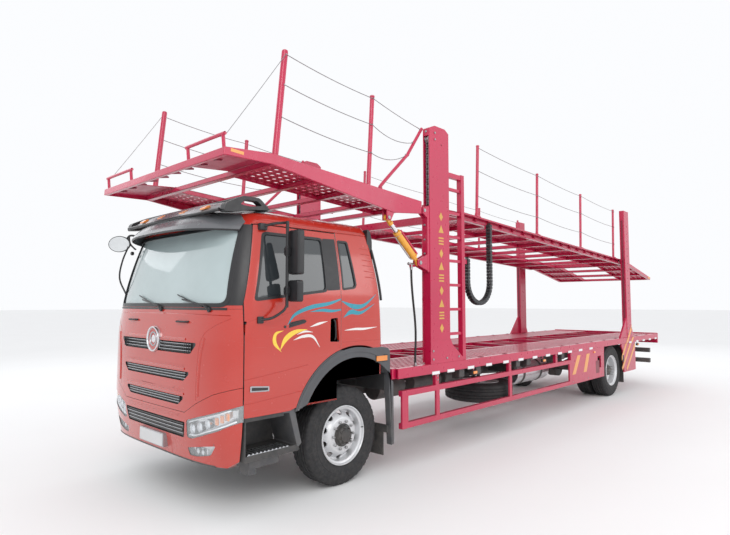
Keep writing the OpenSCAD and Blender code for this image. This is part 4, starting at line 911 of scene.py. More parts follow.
# Black band from the windscreen round to the doors
for side, word in ((1, "left"), (-1, "right")):
    band = cab_part(-1.4, 1, keep=[side_cut(side,
                                            [(-1296, 1850), (-1128, 2590), (-1330, 2600), (-1560, 1850)])],
                    away=[prism_mesh("y", -1900, -1050, rounded(grown(SCREEN, 12), 96))])
    put(f"{word}_pillar_band", "root", "black_plastic", mesh=band, names=["satin_black"], weighted=False)


# ---------------------------------------------------------------- bumper and lamps

HINGE = (1191, -1261)
bumper_skin = cab_part(0, 60, keep=[prism_mesh("y", -2000, PANEL_REAR,
                                                [(x, z - 4) for x, z in SEAM] + [(1300, 455),
                                                                                 (-1300, 455)])], away=[
    prism_mesh("y", -1800, -1300, rounded([(-618, 800), (618, 800), (580, 655), (-580, 655)], 18, 3)),
    prism_mesh("y", -1800, -1200, rounded(LAMP, 25), mirrored(rounded(LAMP, 25))),
    prism_mesh("y", -1800, -1300, rounded(FOG, 22), mirrored(rounded(FOG, 22))),
    prism_mesh("y", -1800, -1200, [(1010, 400), (1240, 560), (1240, 400)],
               [(-1010, 400), (-1240, 400), (-1240, 560)]),
])
lines = Shape()
for side in (1, -1):
    lines.tube([(side * 330, nose_y(330, z) - 1, z) for z in range(450, 650, 16)], 4, 6)
for dz in (0, 17, 34):
    for k in range(-17, 18):
        x = DOT_PITCH * k
        lines.disc((x, nose_y(x, 828 + dz) - 4, 828 + dz), DOT_R, 12, "y", 6)
bumper_skin = cut(bumper_skin, as_mesh(lines))
put("bumper_skin", "root", "cab_red", mesh=bumper_skin,
    names=lined(bumper_skin, ("cab_red", "black_plastic")),
    replaces=["bumper"], sharp=28)

low = Shape().use("satin_black")
low.prism("y", -1480, -1452, rounded([(-632, 812), (632, 812), (592, 643), (-592, 643)], 18, 3), 2)
for k in range(4):
    z = 676 + 34 * k
    half = 574 + 8 * k
    low.use("satin_black").tube([(x, nose_y(x, z) + 14, z) for x in range(-half, half + 1, 30)], 9, 8)
    if k < 3:
        low.use("silver_trim").tube([(x, nose_y(x, z) + 5, z + 15) for x in range(-half, half + 1, 30)], 5,
                                    8)
low.use("plate_white").box((-240, -1534, 520), (240, -1528, 632), 2)
low.use("silver_trim").box((-248, -1529, 513), (248, -1474, 639), 2)
low.use("chassis_dark").box((-430, -1420, 770), (430, -1050, 890), 8)
for side in (1, -1):
    low.box((min(side * 440, side * 500), -1440, 600), (max(side * 440, side * 500), -1380, 840), 5)
low.box((-1000, -1440, 640), (1000, -1395, 690), 5)
low.box((-520, -1450, 690), (520, -1400, 720), 4)
# The bumper's lower lip
low.use("black_plastic").tube([(x, nose_y(x, 462) + 6, 458) for x in range(-980, 981, 40)], 9, 8)
put("bumper_inner", "root", "chassis_dark", low)


def lamp_parts(side, word):
    outline = rounded(LAMP, 25) if side > 0 else mirrored(rounded(LAMP, 25))
    inner = rounded(grown(LAMP, -16), 20) if side > 0 else mirrored(rounded(grown(LAMP, -16), 20))
    cover = cab_part(2, 6, keep=[prism_mesh("y", -1800, PANEL_REAR + 10, outline)])
    put(f"{word}_headlamp_cover", "root", "lamp_clear", mesh=cover, names=["lamp_clear"])
    bezel = cab_part(7, 66, keep=[prism_mesh("y", -1800, PANEL_REAR + 10, outline)],
                     away=[prism_mesh("y", -1800, -1000, inner)])
    put(f"{word}_headlamp_bezel", "root", "lamp_clear", mesh=bezel, names=["satin_black"])
    s = Shape()
    s.side = side
    bowl = cab_part(58, 66, keep=[prism_mesh("y", -1800, PANEL_REAR + 10, outline)])
    put(f"{word}_headlamp_bowl", "root", "lamp_clear", mesh=bowl, names=["chrome"])
    # Three projector modules, a light bar along the lower edge and the turn lamp
    for x, z, r in ((712, 752, 46), (822, 782, 44), (926, 820, 42)):
        y = nose_y(x, z) + 22
        s.use("chrome").lathe((x, y, z), [(r - 6, 0), (r, -6), (r, 34), (r - 6, 34)], 40, "y")
        s.use("lamp_white").lathe((x, y + 6, z),
                                  [(0.01, -14), (14, -12), (28, -4), (36, 8), (36, 26), (0.01, 26)], 40, "y")
    s.use("lamp_white").tube([(x, nose_y(x, z) + 16, z) for x,
                              z in smooth_run([(665, 692), (760, 700), (900, 745), (1080, 808), (1180, 856)],
                                              10)], 8, 8)
    s.tube([(x, nose_y(x, z) + 16, z) for x, z in smooth_run([(672, 808), (800, 846), (1000, 900),
                                                              (1150, 950)], 10)], 7, 8)
    s.use("lamp_orange")
    for x, z in ((1016, 850), (1068, 872), (1116, 894)):
        s.box((x - 20, nose_y(x, z) + 20, z - 32), (x + 20, nose_y(x, z) + 40, z + 32), 6, 2)
    # Fog lamp
    x, z = 770, 548
    y = nose_y(x, z)
    s.use("chrome").box((668, y + 40, 512), (880, y + 52, 590), 4)
    s.use("lamp_white").lathe((722, y + 34, 550), [(0.01, -10), (14, -8), (26, 0), (30, 12), (0.01, 12)], 36,
                              "y")
    s.lathe((806, y + 34, 548), [(0.01, -10), (14, -8), (24, 0), (27, 12), (0.01, 12)], 36, "y")
    s.use("satin_black").lathe((722, y + 30, 550), [(30, 0), (36, -4), (36, 14), (30, 14)], 36, "y")
    s.lathe((806, y + 30, 548), [(27, 0), (33, -4), (33, 14), (27, 14)], 36, "y")
    put(f"{word}_lamp_units", "root", "lamp_clear", s, replaces=["headlamps"] if side > 0 else ())
    fog = rounded(FOG, 22) if side > 0 else mirrored(rounded(FOG, 22))
    put(f"{word}_fog_cover", "root", "lamp_clear",
        mesh=cab_part(4, 8, keep=[prism_mesh("y", -1800, -1300, fog)]),
        names=["lamp_clear"])


lamp_parts(1, "left")
lamp_parts(-1, "right")


# ---------------------------------------------------------------- sun visor and roof rack

def sheet_shape(shape, rows, thick):
    """Closed sheet: rows of points, with their own thickness along the normal"""
    rows = [[Vector(p) for p in r] for r in rows]
    n, m = len(rows), len(rows[0])
    under = []
    for i in range(n):
        line = []
        for j in range(m):
            a = rows[min(i + 1, n - 1)][j] - rows[max(i - 1, 0)][j]
            b = rows[i][min(j + 1, m - 1)] - rows[i][max(j - 1, 0)]
            line.append(rows[i][j] - a.cross(b).normalized() * thick)
        under.append(line)
    verts = [p for r in rows for p in r] + [p for r in under for p in r]
    off = n * m
    faces = []
    for i in range(n - 1):
        for j in range(m - 1):
            q = [i * m + j, (i + 1) * m + j, (i + 1) * m + j + 1, i * m + j + 1]
            faces += [q, [off + k for k in q[::-1]]]
    rim = [i * m for i in range(n)] + [(n - 1) * m + j for j in range(1, m)] + \
          [i * m + m - 1 for i in range(n - 2, -1, -1)] + [j for j in range(m - 2, 0, -1)]
    for a, b in zip(rim, rim[1:] + rim[:1]):
        faces.append([b, a, off + a, off + b])
    return shape.add(verts, faces)


visor = Shape().use("visor_grey")
arc = smooth_run([(-1540, 2566), (-1500, 2622), (-1400, 2700), (-1270, 2752), (-1130, 2782)], 5)
rows = []
for k in range(-24, 25):
    x = 42 * k
    u = (x / 1008) ** 2
    rows.append([(x, y + 320 * u * u, z - 26 * u) for y, z in arc])
sheet_shape(visor, rows[::-1], 7)
visor.use("satin_black").tube([(x, -1537 + 320 * (x / 1008) ** 4, 2560 - 26 * (x / 1008) ** 2)
                               for x in range(-1005, 1006, 30)], 8, 8)
for x in (-700, -450, 0, 450, 700):
    back = 320 * (x / 1008) ** 4
    visor.prism("x", x - 7, x + 7, [(-1500 + back, 2594), (-1270 + back, 2728), (-1220, 2700),
                                    (-1310 + back, 2640)], 2)
# Upper deflector between the side frames
visor.use("visor_grey")
rows = []
for k in range(-23, 24):
    x = 40 * k
    u = (x / 920) ** 2
    rows.append([(x, y + 40 * u, z - 14 * u) for y, z in
                 smooth_run([(-1420, 2722), (-1360, 2772), (-1270, 2822), (-1170, 2852)], 5)])
sheet_shape(visor, rows[::-1], 6)
visor.use("satin_black")
visor.bar((-950, -1190, 2838), (950, -1190, 2838), 18)
visor.bar((-950, -1400, 2712), (950, -1400, 2712), 16)
for x in (-480, 0, 480):
    visor.bar((x, -1190, 2838), (x, -1190, 2758), 14)
    visor.disc((x, -1190, 2756), 30, 8, "z", 20)
for x in (-640, -230, 230, 640):
    visor.use("lamp_orange").prism("x", x - 45, x + 45,
                                   [(-1392, 2744), (-1392, 2760), (-1350, 2790), (-1330, 2790),
                                    (-1330, 2770)], 4, 2)
put("roof_visor", "root", "visor_grey", visor, replaces=["sun_visor"], sharp=40)
for side, word in ((1, "left"), (-1, "right")):
    outline = rounded([(-1390, 2690), (-1370, 2770), (-1185, 2858), (-1010, 2858), (-880, 2756),
                       (-1120, 2735), (-1280, 2700)], 26, 4)
    hole = rounded([(-1220, 2775), (-1165, 2824), (-1030, 2824), (-980, 2786), (-1120, 2765)], 16, 4)
    a, b = sorted((side * 935, side * 1015))
    side_frame = cut(prism_mesh("x", a, b, outline), prism_mesh("x", a - 10, b + 10, hole))
    put(f"{word}_rack_frame", "root", "visor_grey", mesh=side_frame, names=["satin_black"], sharp=35)


# ---------------------------------------------------------------- wipers, handles and mirrors on the front

front_kit = Shape().use("satin_black")
front_kit.tube([(x, nose_y(x, 1818) + 6, 1818) for x in range(-1080, 1081, 30)], 13, 8)
for x0, x1, z1 in ((70, -420, 1935), (900, 410, 1935)):
    foot = (x0, nose_y(x0, 1812) - 16, 1812)
    knee = (x0 - 50, nose_y(x0 - 50, 1850) - 26, 1850)
    end = (x1 + 60, nose_y(x1 + 60, z1 - 30) - 20, z1 - 30)
    front_kit.use("satin_black").disc((x0, nose_y(x0, 1812) + 8, 1812), 22, -30, "y", 24)
    front_kit.tube([foot, knee, end], 7, 8)
    front_kit.bar(foot, knee, 11, 10)
    run = [(x, nose_y(x, 1838 + (z1 - 1838) * (x0 - 90 - x) / (x0 - 90 - x1)) - 10,
            1838 + (z1 - 1838) * (x0 - 90 - x) / (x0 - 90 - x1)) for x in range(x1 - 60, x0 - 80, 30)]
    front_kit.tube(run, 6, 8)
    front_kit.tube([(x, y + 7, z - 3) for x, y, z in run], 4, 6)
for x in (-520, 520):
    front_kit.use("black_plastic").tube([(x + d, nose_y(x + d, 1700) - (24 if abs(d) < 85 else 2), 1700)
                                         for d in range(-100, 101, 10)], 9, 8)
put("wipers", "root", "black_plastic", front_kit)

# Wide oval mirror on its arms at the right front corner
oval = Shape()
mid = Vector((-1225, -1380, 2560))
tilt = (Matrix.Translation(mid)
        @ Matrix.Rotation(math.radians(-158), 4, "Z") @ Matrix.Rotation(math.radians(-8), 4, "X"))
oval.place = tilt @ Matrix.Diagonal((1.0, 0.62, 0.56, 1))
oval.use("satin_black").lathe((0, 0, 0), [(0.01, -55), (70, -48), (130, -28), (165, 4), (168, 22), (158, 26),
                                          (0.01, 20)], 64, "y")
oval.use("mirror_glass").lathe((0, 20, 0), [(0.01, 0), (154, 0), (154, 8), (0.01, 14)], 64, "y")
oval.place = Matrix.Identity(4)
oval.use("satin_black")
oval.tube(smooth_run([(-1150, -1345, 2600), (-1080, -1330, 2650), (-1000, -1290, 2640), (-930, -1262, 2612)],
                     8), 12, 8)
oval.tube(smooth_run([(-1090, -1335, 2648), (-1090, -1320, 2560), (-1040, -1290, 2500),
                      (-1010, -1290, 2490)], 8), 10, 8)
oval.tube(smooth_run([(-1090, -1325, 2560), (-1150, -1380, 2350), (-1160, -1400, 2150),
                      (-1104, -1340, 1960)], 8), 10, 8)
oval.disc((-1130, -1290, 2450), 22, 30, "y", 20)
put("oval_mirror", "root", "black_plastic", oval)


# ---------------------------------------------------------------- doors

def patch(side, outlines, keep=None, away=None, depth=(-1.3, 1.0)):
    mesh = cab_part(depth[0], depth[1], keep=[side_cut(side, *outlines)] + ([keep] if keep else []))
    return cut(mesh, away) if away else mesh


def ribbon(points, widths, steps=10):
    """Closed outline of a stripe that follows a curve, with its half width at each point"""
    run = smooth_run([(p[0], p[1], w) for p, w in zip(points, widths)], steps)
    left, right = [], []
    for i, p in enumerate(run):
        a, b = run[max(i - 1, 0)], run[min(i + 1, len(run) - 1)]
        d = Vector((b.x - a.x, b.y - a.y)).normalized()
        w = max(p.z, 0.6)
        left.append((p.x - d.y * w, p.y + d.x * w))
        right.append((p.x + d.y * w, p.y - d.x * w))
    return left + right[::-1]


TEAL = [ribbon([(-830, 1668), (-740, 1765), (-541, 1832), (-300, 1868), (-60, 1935)], [2, 15, 20, 16, 1]),
        ribbon([(-560, 1786), (-400, 1800), (-250, 1792), (-60, 1815)], [1, 14, 13, 1]),
        ribbon([(-150, 1895), (40, 1835), (200, 1850), (390, 1965)], [1, 26, 17, 1]),
        ribbon([(-110, 1722), (0, 1778), (150, 1770), (360, 1862)], [1, 24, 16, 1])]
YELLOW = [ribbon([(-880, 1618), (-965, 1590), (-975, 1510), (-900, 1425)], [1, 14, 19, 1]),
          ribbon([(-915, 1440), (-850, 1540), (-740, 1600), (-590, 1620)], [1, 24, 20, 1])]
WHITE = [ribbon([(-760, 1525), (-640, 1555), (-520, 1545), (-430, 1440)], [1, 13, 12, 1]),
         ribbon([(-560, 1640), (-450, 1668), (-330, 1690)], [1, 12, 1]),
         ribbon([(-720, 1575), (-620, 1600), (-520, 1590)], [1, 9, 1])]


def door(side, word):
    body = f"{word}_door"
    skin = cab_part(0, 55, keep=[side_cut(side, door_outline(0))], away=[
        side_cut(side, DOOR_WINDOW),
        *[box_mesh((min(side * 1101, side * 1207), -1310, z - 60),
                   (max(side * 1101, side * 1207), -1231, z + 60))
          for z in (1090, 1650)],
    ])
    carve = Shape()
    for z0, z1 in ((1205, 1262), (995, 1035)):
        pts = [(y, z0 + (z1 - z0) * (y + 1285) / 520) for y in range(-1300, -560, 24)]
        carve.tube([(side * (cab_x(y, z) + 1.5), y, z) for y, z in pts if y < -160], 5, 6)
    carve.tube([(side * (cab_x(y, z) + 1.5), y, z) for y, z in
                smooth_run([(-1290, 1690), (-1150, 1735), (-900, 1760), (-500, 1850), (-130, 1905)], 8)], 4,
               6)
    skin = cut(skin, as_mesh(carve))
    # Grab recess at the rear edge
    skin = cut(skin, prism_mesh("x", *sorted((side * 1196, side * 1300)),
                                rounded([(-292, 1485), (-285, 1715), (-190, 1722), (-165, 1480)], 14)))
    put(f"{word}_door_skin", body, "cab_red", mesh=skin, names=lined(skin, ("cab_red", "cabin_plastic")),
        replaces=[f"{word}_door"], sharp=28)
    frame_line = [(-1190, 1895), (-1050, 2520), (-330, 2520), (-330, 1990)]
    ring = cab_part(-2, 18, keep=[side_cut(side, rounded(grown(frame_line, 9), 48))],
                    away=[side_cut(side, rounded(grown(frame_line, -16), 34))])
    put(f"{word}_door_seal", body, "black_plastic", mesh=ring, names=["satin_black"])
    put(f"{word}_door_glass", body, "tinted_glass",
        mesh=cab_part(12, 18, keep=[side_cut(side, DOOR_WINDOW)]),
        names=["tinted_glass"], replaces=[f"{word}_window"])
    pillar = patch(side, [rounded([(-322, 1994), (-322, 2524), (-152, 2530), (-152, 2005)], 10)],
                   depth=(-2, 2))
    put(f"{word}_door_pillar", body, "black_plastic", mesh=pillar, names=["satin_black"])
    door_area = side_cut(side, door_outline(-1))
    for colour, shapes in (("teal", TEAL[:2]), ("yellow", YELLOW), ("white", WHITE)):
        mesh = patch(side, shapes, keep=door_area)
        put(f"{word}_door_{colour}_stripe", body, "cab_red", mesh=mesh, names=[colour], weighted=False)
    s = Shape()
    s.side = side
    x = 1196
    s.use("satin_black").prism("x", x - 4, x, rounded([(-292, 1485), (-285, 1715), (-190, 1722),
                                                       (-165, 1480)], 14), 1)
    s.tube([(x + 6, -212, 1500), (x + 24, -214, 1520), (x + 28, -216, 1600), (x + 24, -220, 1685),
            (x + 6, -222, 1705)], 9, 10)
    handle_z = 1672
    s.use("black_plastic").prism("x", cab_x(-700, handle_z) - 4, cab_x(-700, handle_z) + 4, rounded(
        [(-815, 1640), (-810, 1690), (-640, 1716), (-600, 1700), (-620, 1680)], 10), 3)
    s.tube([(cab_x(y, 1680) + (8 if -790 < y < -640 else 3), y, z) for y, z in
            smooth_run([(-800, 1664), (-740, 1684), (-660, 1700), (-620, 1703)], 6)], 9, 8)
    s.disc((cab_x(-860, 1650), -860, 1652), 13, 5, "x", 24)
    # Small silver bar low on the door, plain
    s.use("silver_trim").prism("x", 1223, 1227, rounded([(-1235, 1098), (-1232, 1150), (-1030, 1130),
                                                         (-1030, 1085)], 10), 1.5)
    s.use("satin_black").prism("x", 1226, 1228.5,
                               rounded([(-1220, 1108), (-1218, 1137), (-1046, 1120), (-1046, 1097)], 8), 0.8)
    # Hinge knuckles
    s.use("cab_red")
    for z in (1090, 1650):
        s.lathe((HINGE[0], HINGE[1], z - 34), [(9, 0), (15, 0), (16, 1), (16, 67), (15, 68), (9, 68)], 32,
                "z")
        s.box((HINGE[0] - 14, HINGE[1] + 12, z - 34), (HINGE[0] + 12, HINGE[1] + 33, z + 34), 2)
    # Inner trim: panel, armrest, handle
    s.use("cabin_plastic").prism("x", 1150, 1172,
                                 rounded([(-1180, 960), (-1180, 1850), (-200, 1940), (-200, 1480),
                                          (-640, 1320),
                                                           (-790, 960)], 30), 6, 2)
    s.prism("x", 1095, 1152, rounded([(-960, 1480), (-960, 1530), (-420, 1560), (-420, 1500)], 20), 8, 2)
    s.use("chrome").tube([(1140, -1000, 1620), (1128, -990, 1625), (1128, -900, 1630), (1140, -890, 1630)],
                         6, 8)
    put(f"{word}_door_fittings", body, "cab_red", s)


door(1, "left")
door(-1, "right")

for side, word in ((1, "left"), (-1, "right")):
    shapes = [ribbon([(-150, 1895), (40, 1835), (200, 1850), (390, 1965)], [1, 26, 17, 1]), TEAL[3]]
    mesh = patch(side, shapes, away=side_cut(side, door_outline(DOOR_GAP + 1)))
    put(f"{word}_cab_teal_stripe", "root", "cab_red", mesh=mesh, names=["teal"], weighted=False)
    mesh = patch(side, [ribbon([(-90, 1592), (60, 1600), (200, 1598), (400, 1612)], [2, 11, 11, 1])])
    put(f"{word}_cab_white_stripe", "root", "cab_red", mesh=mesh, names=["white"], weighted=False)


def mirrors(side, word):
    s = Shape()
    s.side = side
    x, y = 1355, -880

    def housing(x0, x1, z0, z1, deep):
        rows = []
        steps = [(0.0, 0.86), (0.12, 0.96), (0.5, 1.0), (0.88, 1.0), (1.0, 0.97)]
        outline = rounded([(x0, z0), (x1, z0), (x1, z1), (x0, z1)], 26, 5)
        cx, cz = (x0 + x1) / 2, (z0 + z1) / 2
        for t, scale in steps:
            rows.append([(cx + (px - cx) * scale, y - 12 + deep * t,
                          cz + (pz - cz) * (1 - (1 - scale) * 0.45)) for px, pz in outline])
        s.use("satin_black").rings(rows)
        inner = rounded([(x0 + 8, z0 + 8), (x1 - 8, z0 + 8), (x1 - 8, z1 - 8), (x0 + 8, z1 - 8)], 20, 5)
        s.use("mirror_glass").prism("y", y - 12 + deep, y - 9 + deep, inner, 0.8)

    housing(x - 58, x + 93, 2130, 2540, 70)
    housing(x - 58, x + 93, 1882, 2080, 62)
    s.use("satin_black")
    rod_x, rod_y = x - 30, y - 40
    s.tube(smooth_run([(rod_x, rod_y, 1830), (rod_x, rod_y, 1900), (rod_x, rod_y, 2300),
                       (rod_x, rod_y, 2618)], 8), 15, 12)
    s.tube(smooth_run([(rod_x, rod_y, 2604), (rod_x - 60, rod_y - 10, 2606), (1200, -990, 2598),
                       (1128, -1050, 2574)], 8), 13, 10)
    s.tube(smooth_run([(rod_x, rod_y, 1850), (rod_x - 4, rod_y - 40, 1800), (1290, -1060, 1738),
                       (1222, -1140, 1722)], 8), 12, 10)
    s.box((1096, -1090, 2540), (1146, -1010, 2604), 8, 2)
    s.box((1212, -1170, 1690), (1238, -1106, 1752), 6, 2)
    for z in (2340, 1980):
        s.box((rod_x - 24, rod_y - 24, z - 34), (rod_x + 24, rod_y + 26, z + 34), 7, 2)
        s.disc((rod_x, rod_y, z - 44), 22, 88, "z", 24)
        s.nut((rod_x, rod_y - 26, z), 9, -9, "y")
    put(f"{word}_mirror_set", f"{word}_door", "black_plastic", s, replaces=[f"{word}_mirror"], sharp=40)


mirrors(1, "left")
mirrors(-1, "right")


# ---------------------------------------------------------------- CAD parts with rounded edges

def soften(node, body, paint, width=3.0):
    """The CAD part itself with its hard edges rounded off"""
    source = frame["nodes"][node]
    bm = bmesh.new()
    bm.from_mesh(source.data)
    bm.transform(source.matrix_world)
    bmesh.ops.remove_doubles(bm, verts=bm.verts, dist=0.00002)
    bmesh.ops.dissolve_limit(bm, angle_limit=0.01, verts=bm.verts, edges=bm.edges)
    bm.normal_update()
    edges = [e for e in bm.edges if e.is_manifold and e.calc_face_angle(0) > 0.5]
    bmesh.ops.bevel(bm, geom=edges, offset=width / 1000, segments=1, profile=0.5, affect="EDGES",
                    clamp_overlap=True)
    mesh = bpy.data.meshes.new(node)
    bm.to_mesh(mesh)
    bm.free()
    return put(node + "_skin", body, paint, mesh=mesh, names=[paint], replaces=(node,), metres=True)


# ---------------------------------------------------------------- wheels

TYRE_Z = 505.0
FRONT_TYRE_X, OUTER_TYRE_X, INNER_TYRE_X = 995, 1072, 762
TREAD = [(505, 20), (494, 23), (494, 31), (505, 34), (505, 60), (494, 63), (494, 70), (505, 73), (503, 98),
         (493, 112),
         (470, 123), (458, 127), (440, 134), (437, 137), (415, 138), (395, 138), (393, 136), (385, 136),
         (383, 138),
         (352, 134), (330, 130), (318, 125), (316, 121), (300, 118), (288, 116)]
SHOULDER = range(7, 11)


def tyre(shape, centre, sides=168):
    shape.use("tyre")
    rings = []
    for k in range(sides):
        t = math.tau * k / sides
        half = [(r - (8 if i in SHOULDER and k % 4 == 0 else 0), d) for i, (r, d) in enumerate(TREAD)]
        ring = half + [(r, -d) for r, d in half[::-1]]
        rings.append([(centre[0] + d, centre[1] + r * math.cos(t), centre[2] + r * math.sin(t)) for r,
                      d in ring])
    return shape.rings(rings[::-1], closed=True)


RIM_EDGE = [(304, 122), (301, 130), (294, 131), (288, 124), (284, 112), (266, 103), (260, 90)]
RIM_BACK = [(250, -60), (262, -100), (284, -112), (288, -124), (294, -131), (301, -130), (304, -122),
            (292, -118),
            (286, -98), (272, -80), (270, 80), (286, 98), (292, 118)]
BULGED = [(257, 55), (250, 42), (240, 40), (226, 52), (200, 86), (182, 104), (168, 110), (112, 110),
          (112, 100), (164, 100),
          (178, 94), (200, 72), (232, 28), (246, 10)]
DISHED = [(256, 20), (250, -6), (240, -14), (205, -26), (172, -34), (160, -40), (112, -42), (112, -52),
          (160, -50),
          (205, -40), (236, -36), (246, -40)]
HOLES = 10


def rim(centre, dish, hole_radius):
    """Steel rim and disc with its ring of hand holes"""
    solid = Shape().use("wheel_silver")
    solid.lathe(centre, RIM_EDGE + dish + RIM_BACK, 96)
    tool = Shape()
    for k in range(HOLES):
        t = math.tau * (k + 0.5) / HOLES
        y, z = centre[1] + hole_radius * math.cos(t), centre[2] + hole_radius * math.sin(t)
        ring = [(math.cos(a) * 25 * math.cos(t) - math.sin(a) * 33 * math.sin(t),
                 math.cos(a) * 25 * math.sin(t) + math.sin(a) * 33 * math.cos(t))
                for a in (math.tau * m / 20 for m in range(20))]
        tool.prism("x", centre[0] - 75, centre[0] + 115, [(y + a, z + b) for a, b in ring], bevel=0)
    return cut(as_mesh(solid), as_mesh(tool))


def mirrored_mesh(mesh):
    bm = bmesh.new()
    bm.from_mesh(mesh)
    bm.transform(Matrix.Diagonal((-1, 1, 1, 1)))
    bmesh.ops.reverse_faces(bm, faces=bm.faces)
    out = bpy.data.meshes.new("mirrored")
    bm.to_mesh(out)
    bm.free()
    return out


def studs(shape, x, y, z, radius=140):
    for k in range(HOLES):
        t = math.tau * k / HOLES
        shape.nut((x, y + radius * math.cos(t), z + radius * math.sin(t)), 15, 24)


def hub(shape, x, y, z, length, black):
    """Hub with its flange, cap and cap bolts"""
    shape.use("satin_black" if black else "chassis_dark")
    shape.lathe((x, y, z), [(0.01, -60), (118, -60), (118, 2), (112, 10), (104, 12), (98, length - 16),
                            (92, length - 6),
                            (70, length), (66, length + 8), (48, length + 12), (0.01, length + 13)], 40)
    for k in range(8):
        t = math.tau * (k + 0.3) / 8
        shape.nut((x, y + 80 * math.cos(t), z + 80 * math.sin(t)), 8, length + 6)


front_rim_mesh = rim((FRONT_TYRE_X, 0, TYRE_Z), BULGED, 226)
rear_outer_mesh = rim((OUTER_TYRE_X, WHEELBASE, TYRE_Z), DISHED, 212)
for side, word in ((1, "left"), (-1, "right")):
    rubber_part = Shape()
    rubber_part.side = side
    put("front_tyre_" + word, "front_" + word + "_wheel", "tyre",
        tyre(rubber_part, (FRONT_TYRE_X, 0, TYRE_Z)),
        replaces=("front_" + word + "_tyre",), sharp=38)
    turned = front_rim_mesh if side > 0 else mirrored_mesh(front_rim_mesh)
    put("front_rim_" + word, "front_" + word + "_wheel", "wheel_silver", mesh=turned, names=["wheel_silver"],
        replaces=("front_" + word + "_rim",), sharp=30)
    fittings = Shape()
    fittings.side = side
    hub(fittings, 1105, 0, TYRE_Z, 46, True)
    fittings.use("steel")
    studs(fittings, 1105, 0, TYRE_Z)
    fittings.use("chassis_dark").lathe((935, 0, TYRE_Z), [(120, 0), (205, 0), (205, 72), (120, 72)], 48)
    fittings.disc((1000, 0, TYRE_Z), 202, 8)
    fittings.use("satin_black").bar((1118, 262, TYRE_Z + 40), (1150, 262, TYRE_Z + 48), 5, 8)
    put("front_hub_" + word, "front_" + word + "_wheel", "wheel_silver", fittings)

    rubber_part = Shape()
    rubber_part.side = side
    tyre(rubber_part, (OUTER_TYRE_X, WHEELBASE, TYRE_Z))
    tyre(rubber_part, (INNER_TYRE_X, WHEELBASE, TYRE_Z))
    put("rear_tyre_" + word, "rear_" + word + "_wheels", "tyre", rubber_part,
        replaces=("rear_" + word + "_tyres",), sharp=38)
    turned = rear_outer_mesh if side > 0 else mirrored_mesh(rear_outer_mesh)
    put("rear_rim_" + word, "rear_" + word + "_wheels", "wheel_silver", mesh=turned, names=["wheel_silver"],
        replaces=("rear_" + word + "_rims",), sharp=30)
    fittings = Shape()
    fittings.side = side
    fittings.use("wheel_silver").lathe((INNER_TYRE_X, WHEELBASE, TYRE_Z), RIM_EDGE + BULGED + RIM_BACK, 72)
    hub(fittings, 1030, WHEELBASE, TYRE_Z, 128, False)
    fittings.use("steel")
    studs(fittings, 1032, WHEELBASE, TYRE_Z)
    fittings.use("chassis_dark").lathe((702, WHEELBASE, TYRE_Z), [(90, 0), (205, 0), (205, 75), (90, 75)],
                                       48)
    fittings.lathe((872, WHEELBASE, TYRE_Z), [(90, 0), (165, 0), (165, 148), (90, 148)], 48)
    put("rear_hub_" + word, "rear_" + word + "_wheels", "wheel_silver", fittings)


# ---------------------------------------------------------------- wheel arches, flaps and steps

def arc_points(centre_y, centre_z, radius, start, stop, step):
    count = max(int(abs(stop - start) / step), 1)
    return [(centre_y + radius * math.cos(math.radians(start + (stop - start) * k / count)),
             centre_z + radius * math.sin(math.radians(start + (stop - start) * k / count)))
            for k in range(count + 1)]


arches = Shape().use("dark_grey")


def arch(s):
    outer = arc_points(80, 560, 866, 160, 106, 5) + [(-60, 1398), (480, 1392), (585, 1374), (618, 1338)]
    skirt = [(618, 1030), (672, 1000), (684, 310), (640, 300), (600, 900)]
    inner = arc_points(80, 560, 745, 44, 152, 5)
    s.use("dark_grey").prism("x", 1150, 1229, outer + skirt + inner, bevel=9, segments=2)
    s.prism("x", 1215, 1236, arc_points(80, 560, 852, 158, 60, 5) + arc_points(80, 560, 800, 60, 156, 5),
            bevel=7, segments=2)
    s.prism("x", 700, 1160, arc_points(80, 560, 752, 40, 152, 6) + arc_points(80, 560, 742, 152, 40, 6),
            bevel=0)
    for k in range(6):
        a = 150 - k * 18
        s.prism("x", 720, 1150, arc_points(80, 560, 744, a, a - 4, 2) + arc_points(80, 560, 734, a - 4, a,
                                                                                   2), bevel=0)
    s.use("black_plastic").box((700, 596, 900), (1160, 612, 1100), 4)
    s.box((760, 604, 180), (1130, 618, 470), 5)
    s.box((740, 592, 440), (1200, 628, 520), 5)
    s.box((430, 592, 900), (720, 632, 980), 5)
    s.use("steel")
    for x in (800, 900, 1000, 1090):
        s.nut((x, 618, 455), 9, 7, "y")
    s.use("lamp_orange").box((1229, 384, 1240), (1241, 556, 1296), 5, 2)
    s.use("black_plastic").box((1226, 374, 1230), (1233, 566, 1306), 3)
    s.use("steel").tube([(930, 40, 1290), (1000, 60, 1270), (1080, 70, 1275), (1120, 120, 1235)], 12)
    s.use("black_plastic").box((770, 8140, 200), (1215, 8152, 985), 4)
    s.use("steel")
    for x in (850, 950, 1050, 1150):
        s.nut((x, 8152, 960), 9, 7, "y")
    s.use("black_plastic").prism("x", 640, 1195, arc_points(WHEELBASE, TYRE_Z, 560, 62, 118, 6)
                                 + arc_points(WHEELBASE, TYRE_Z, 548, 118, 62, 6), bevel=0)


arches.both(arch)
put("arch_trims", "root", "black_plastic", arches, replaces=("mudguards",))

steps = Shape()


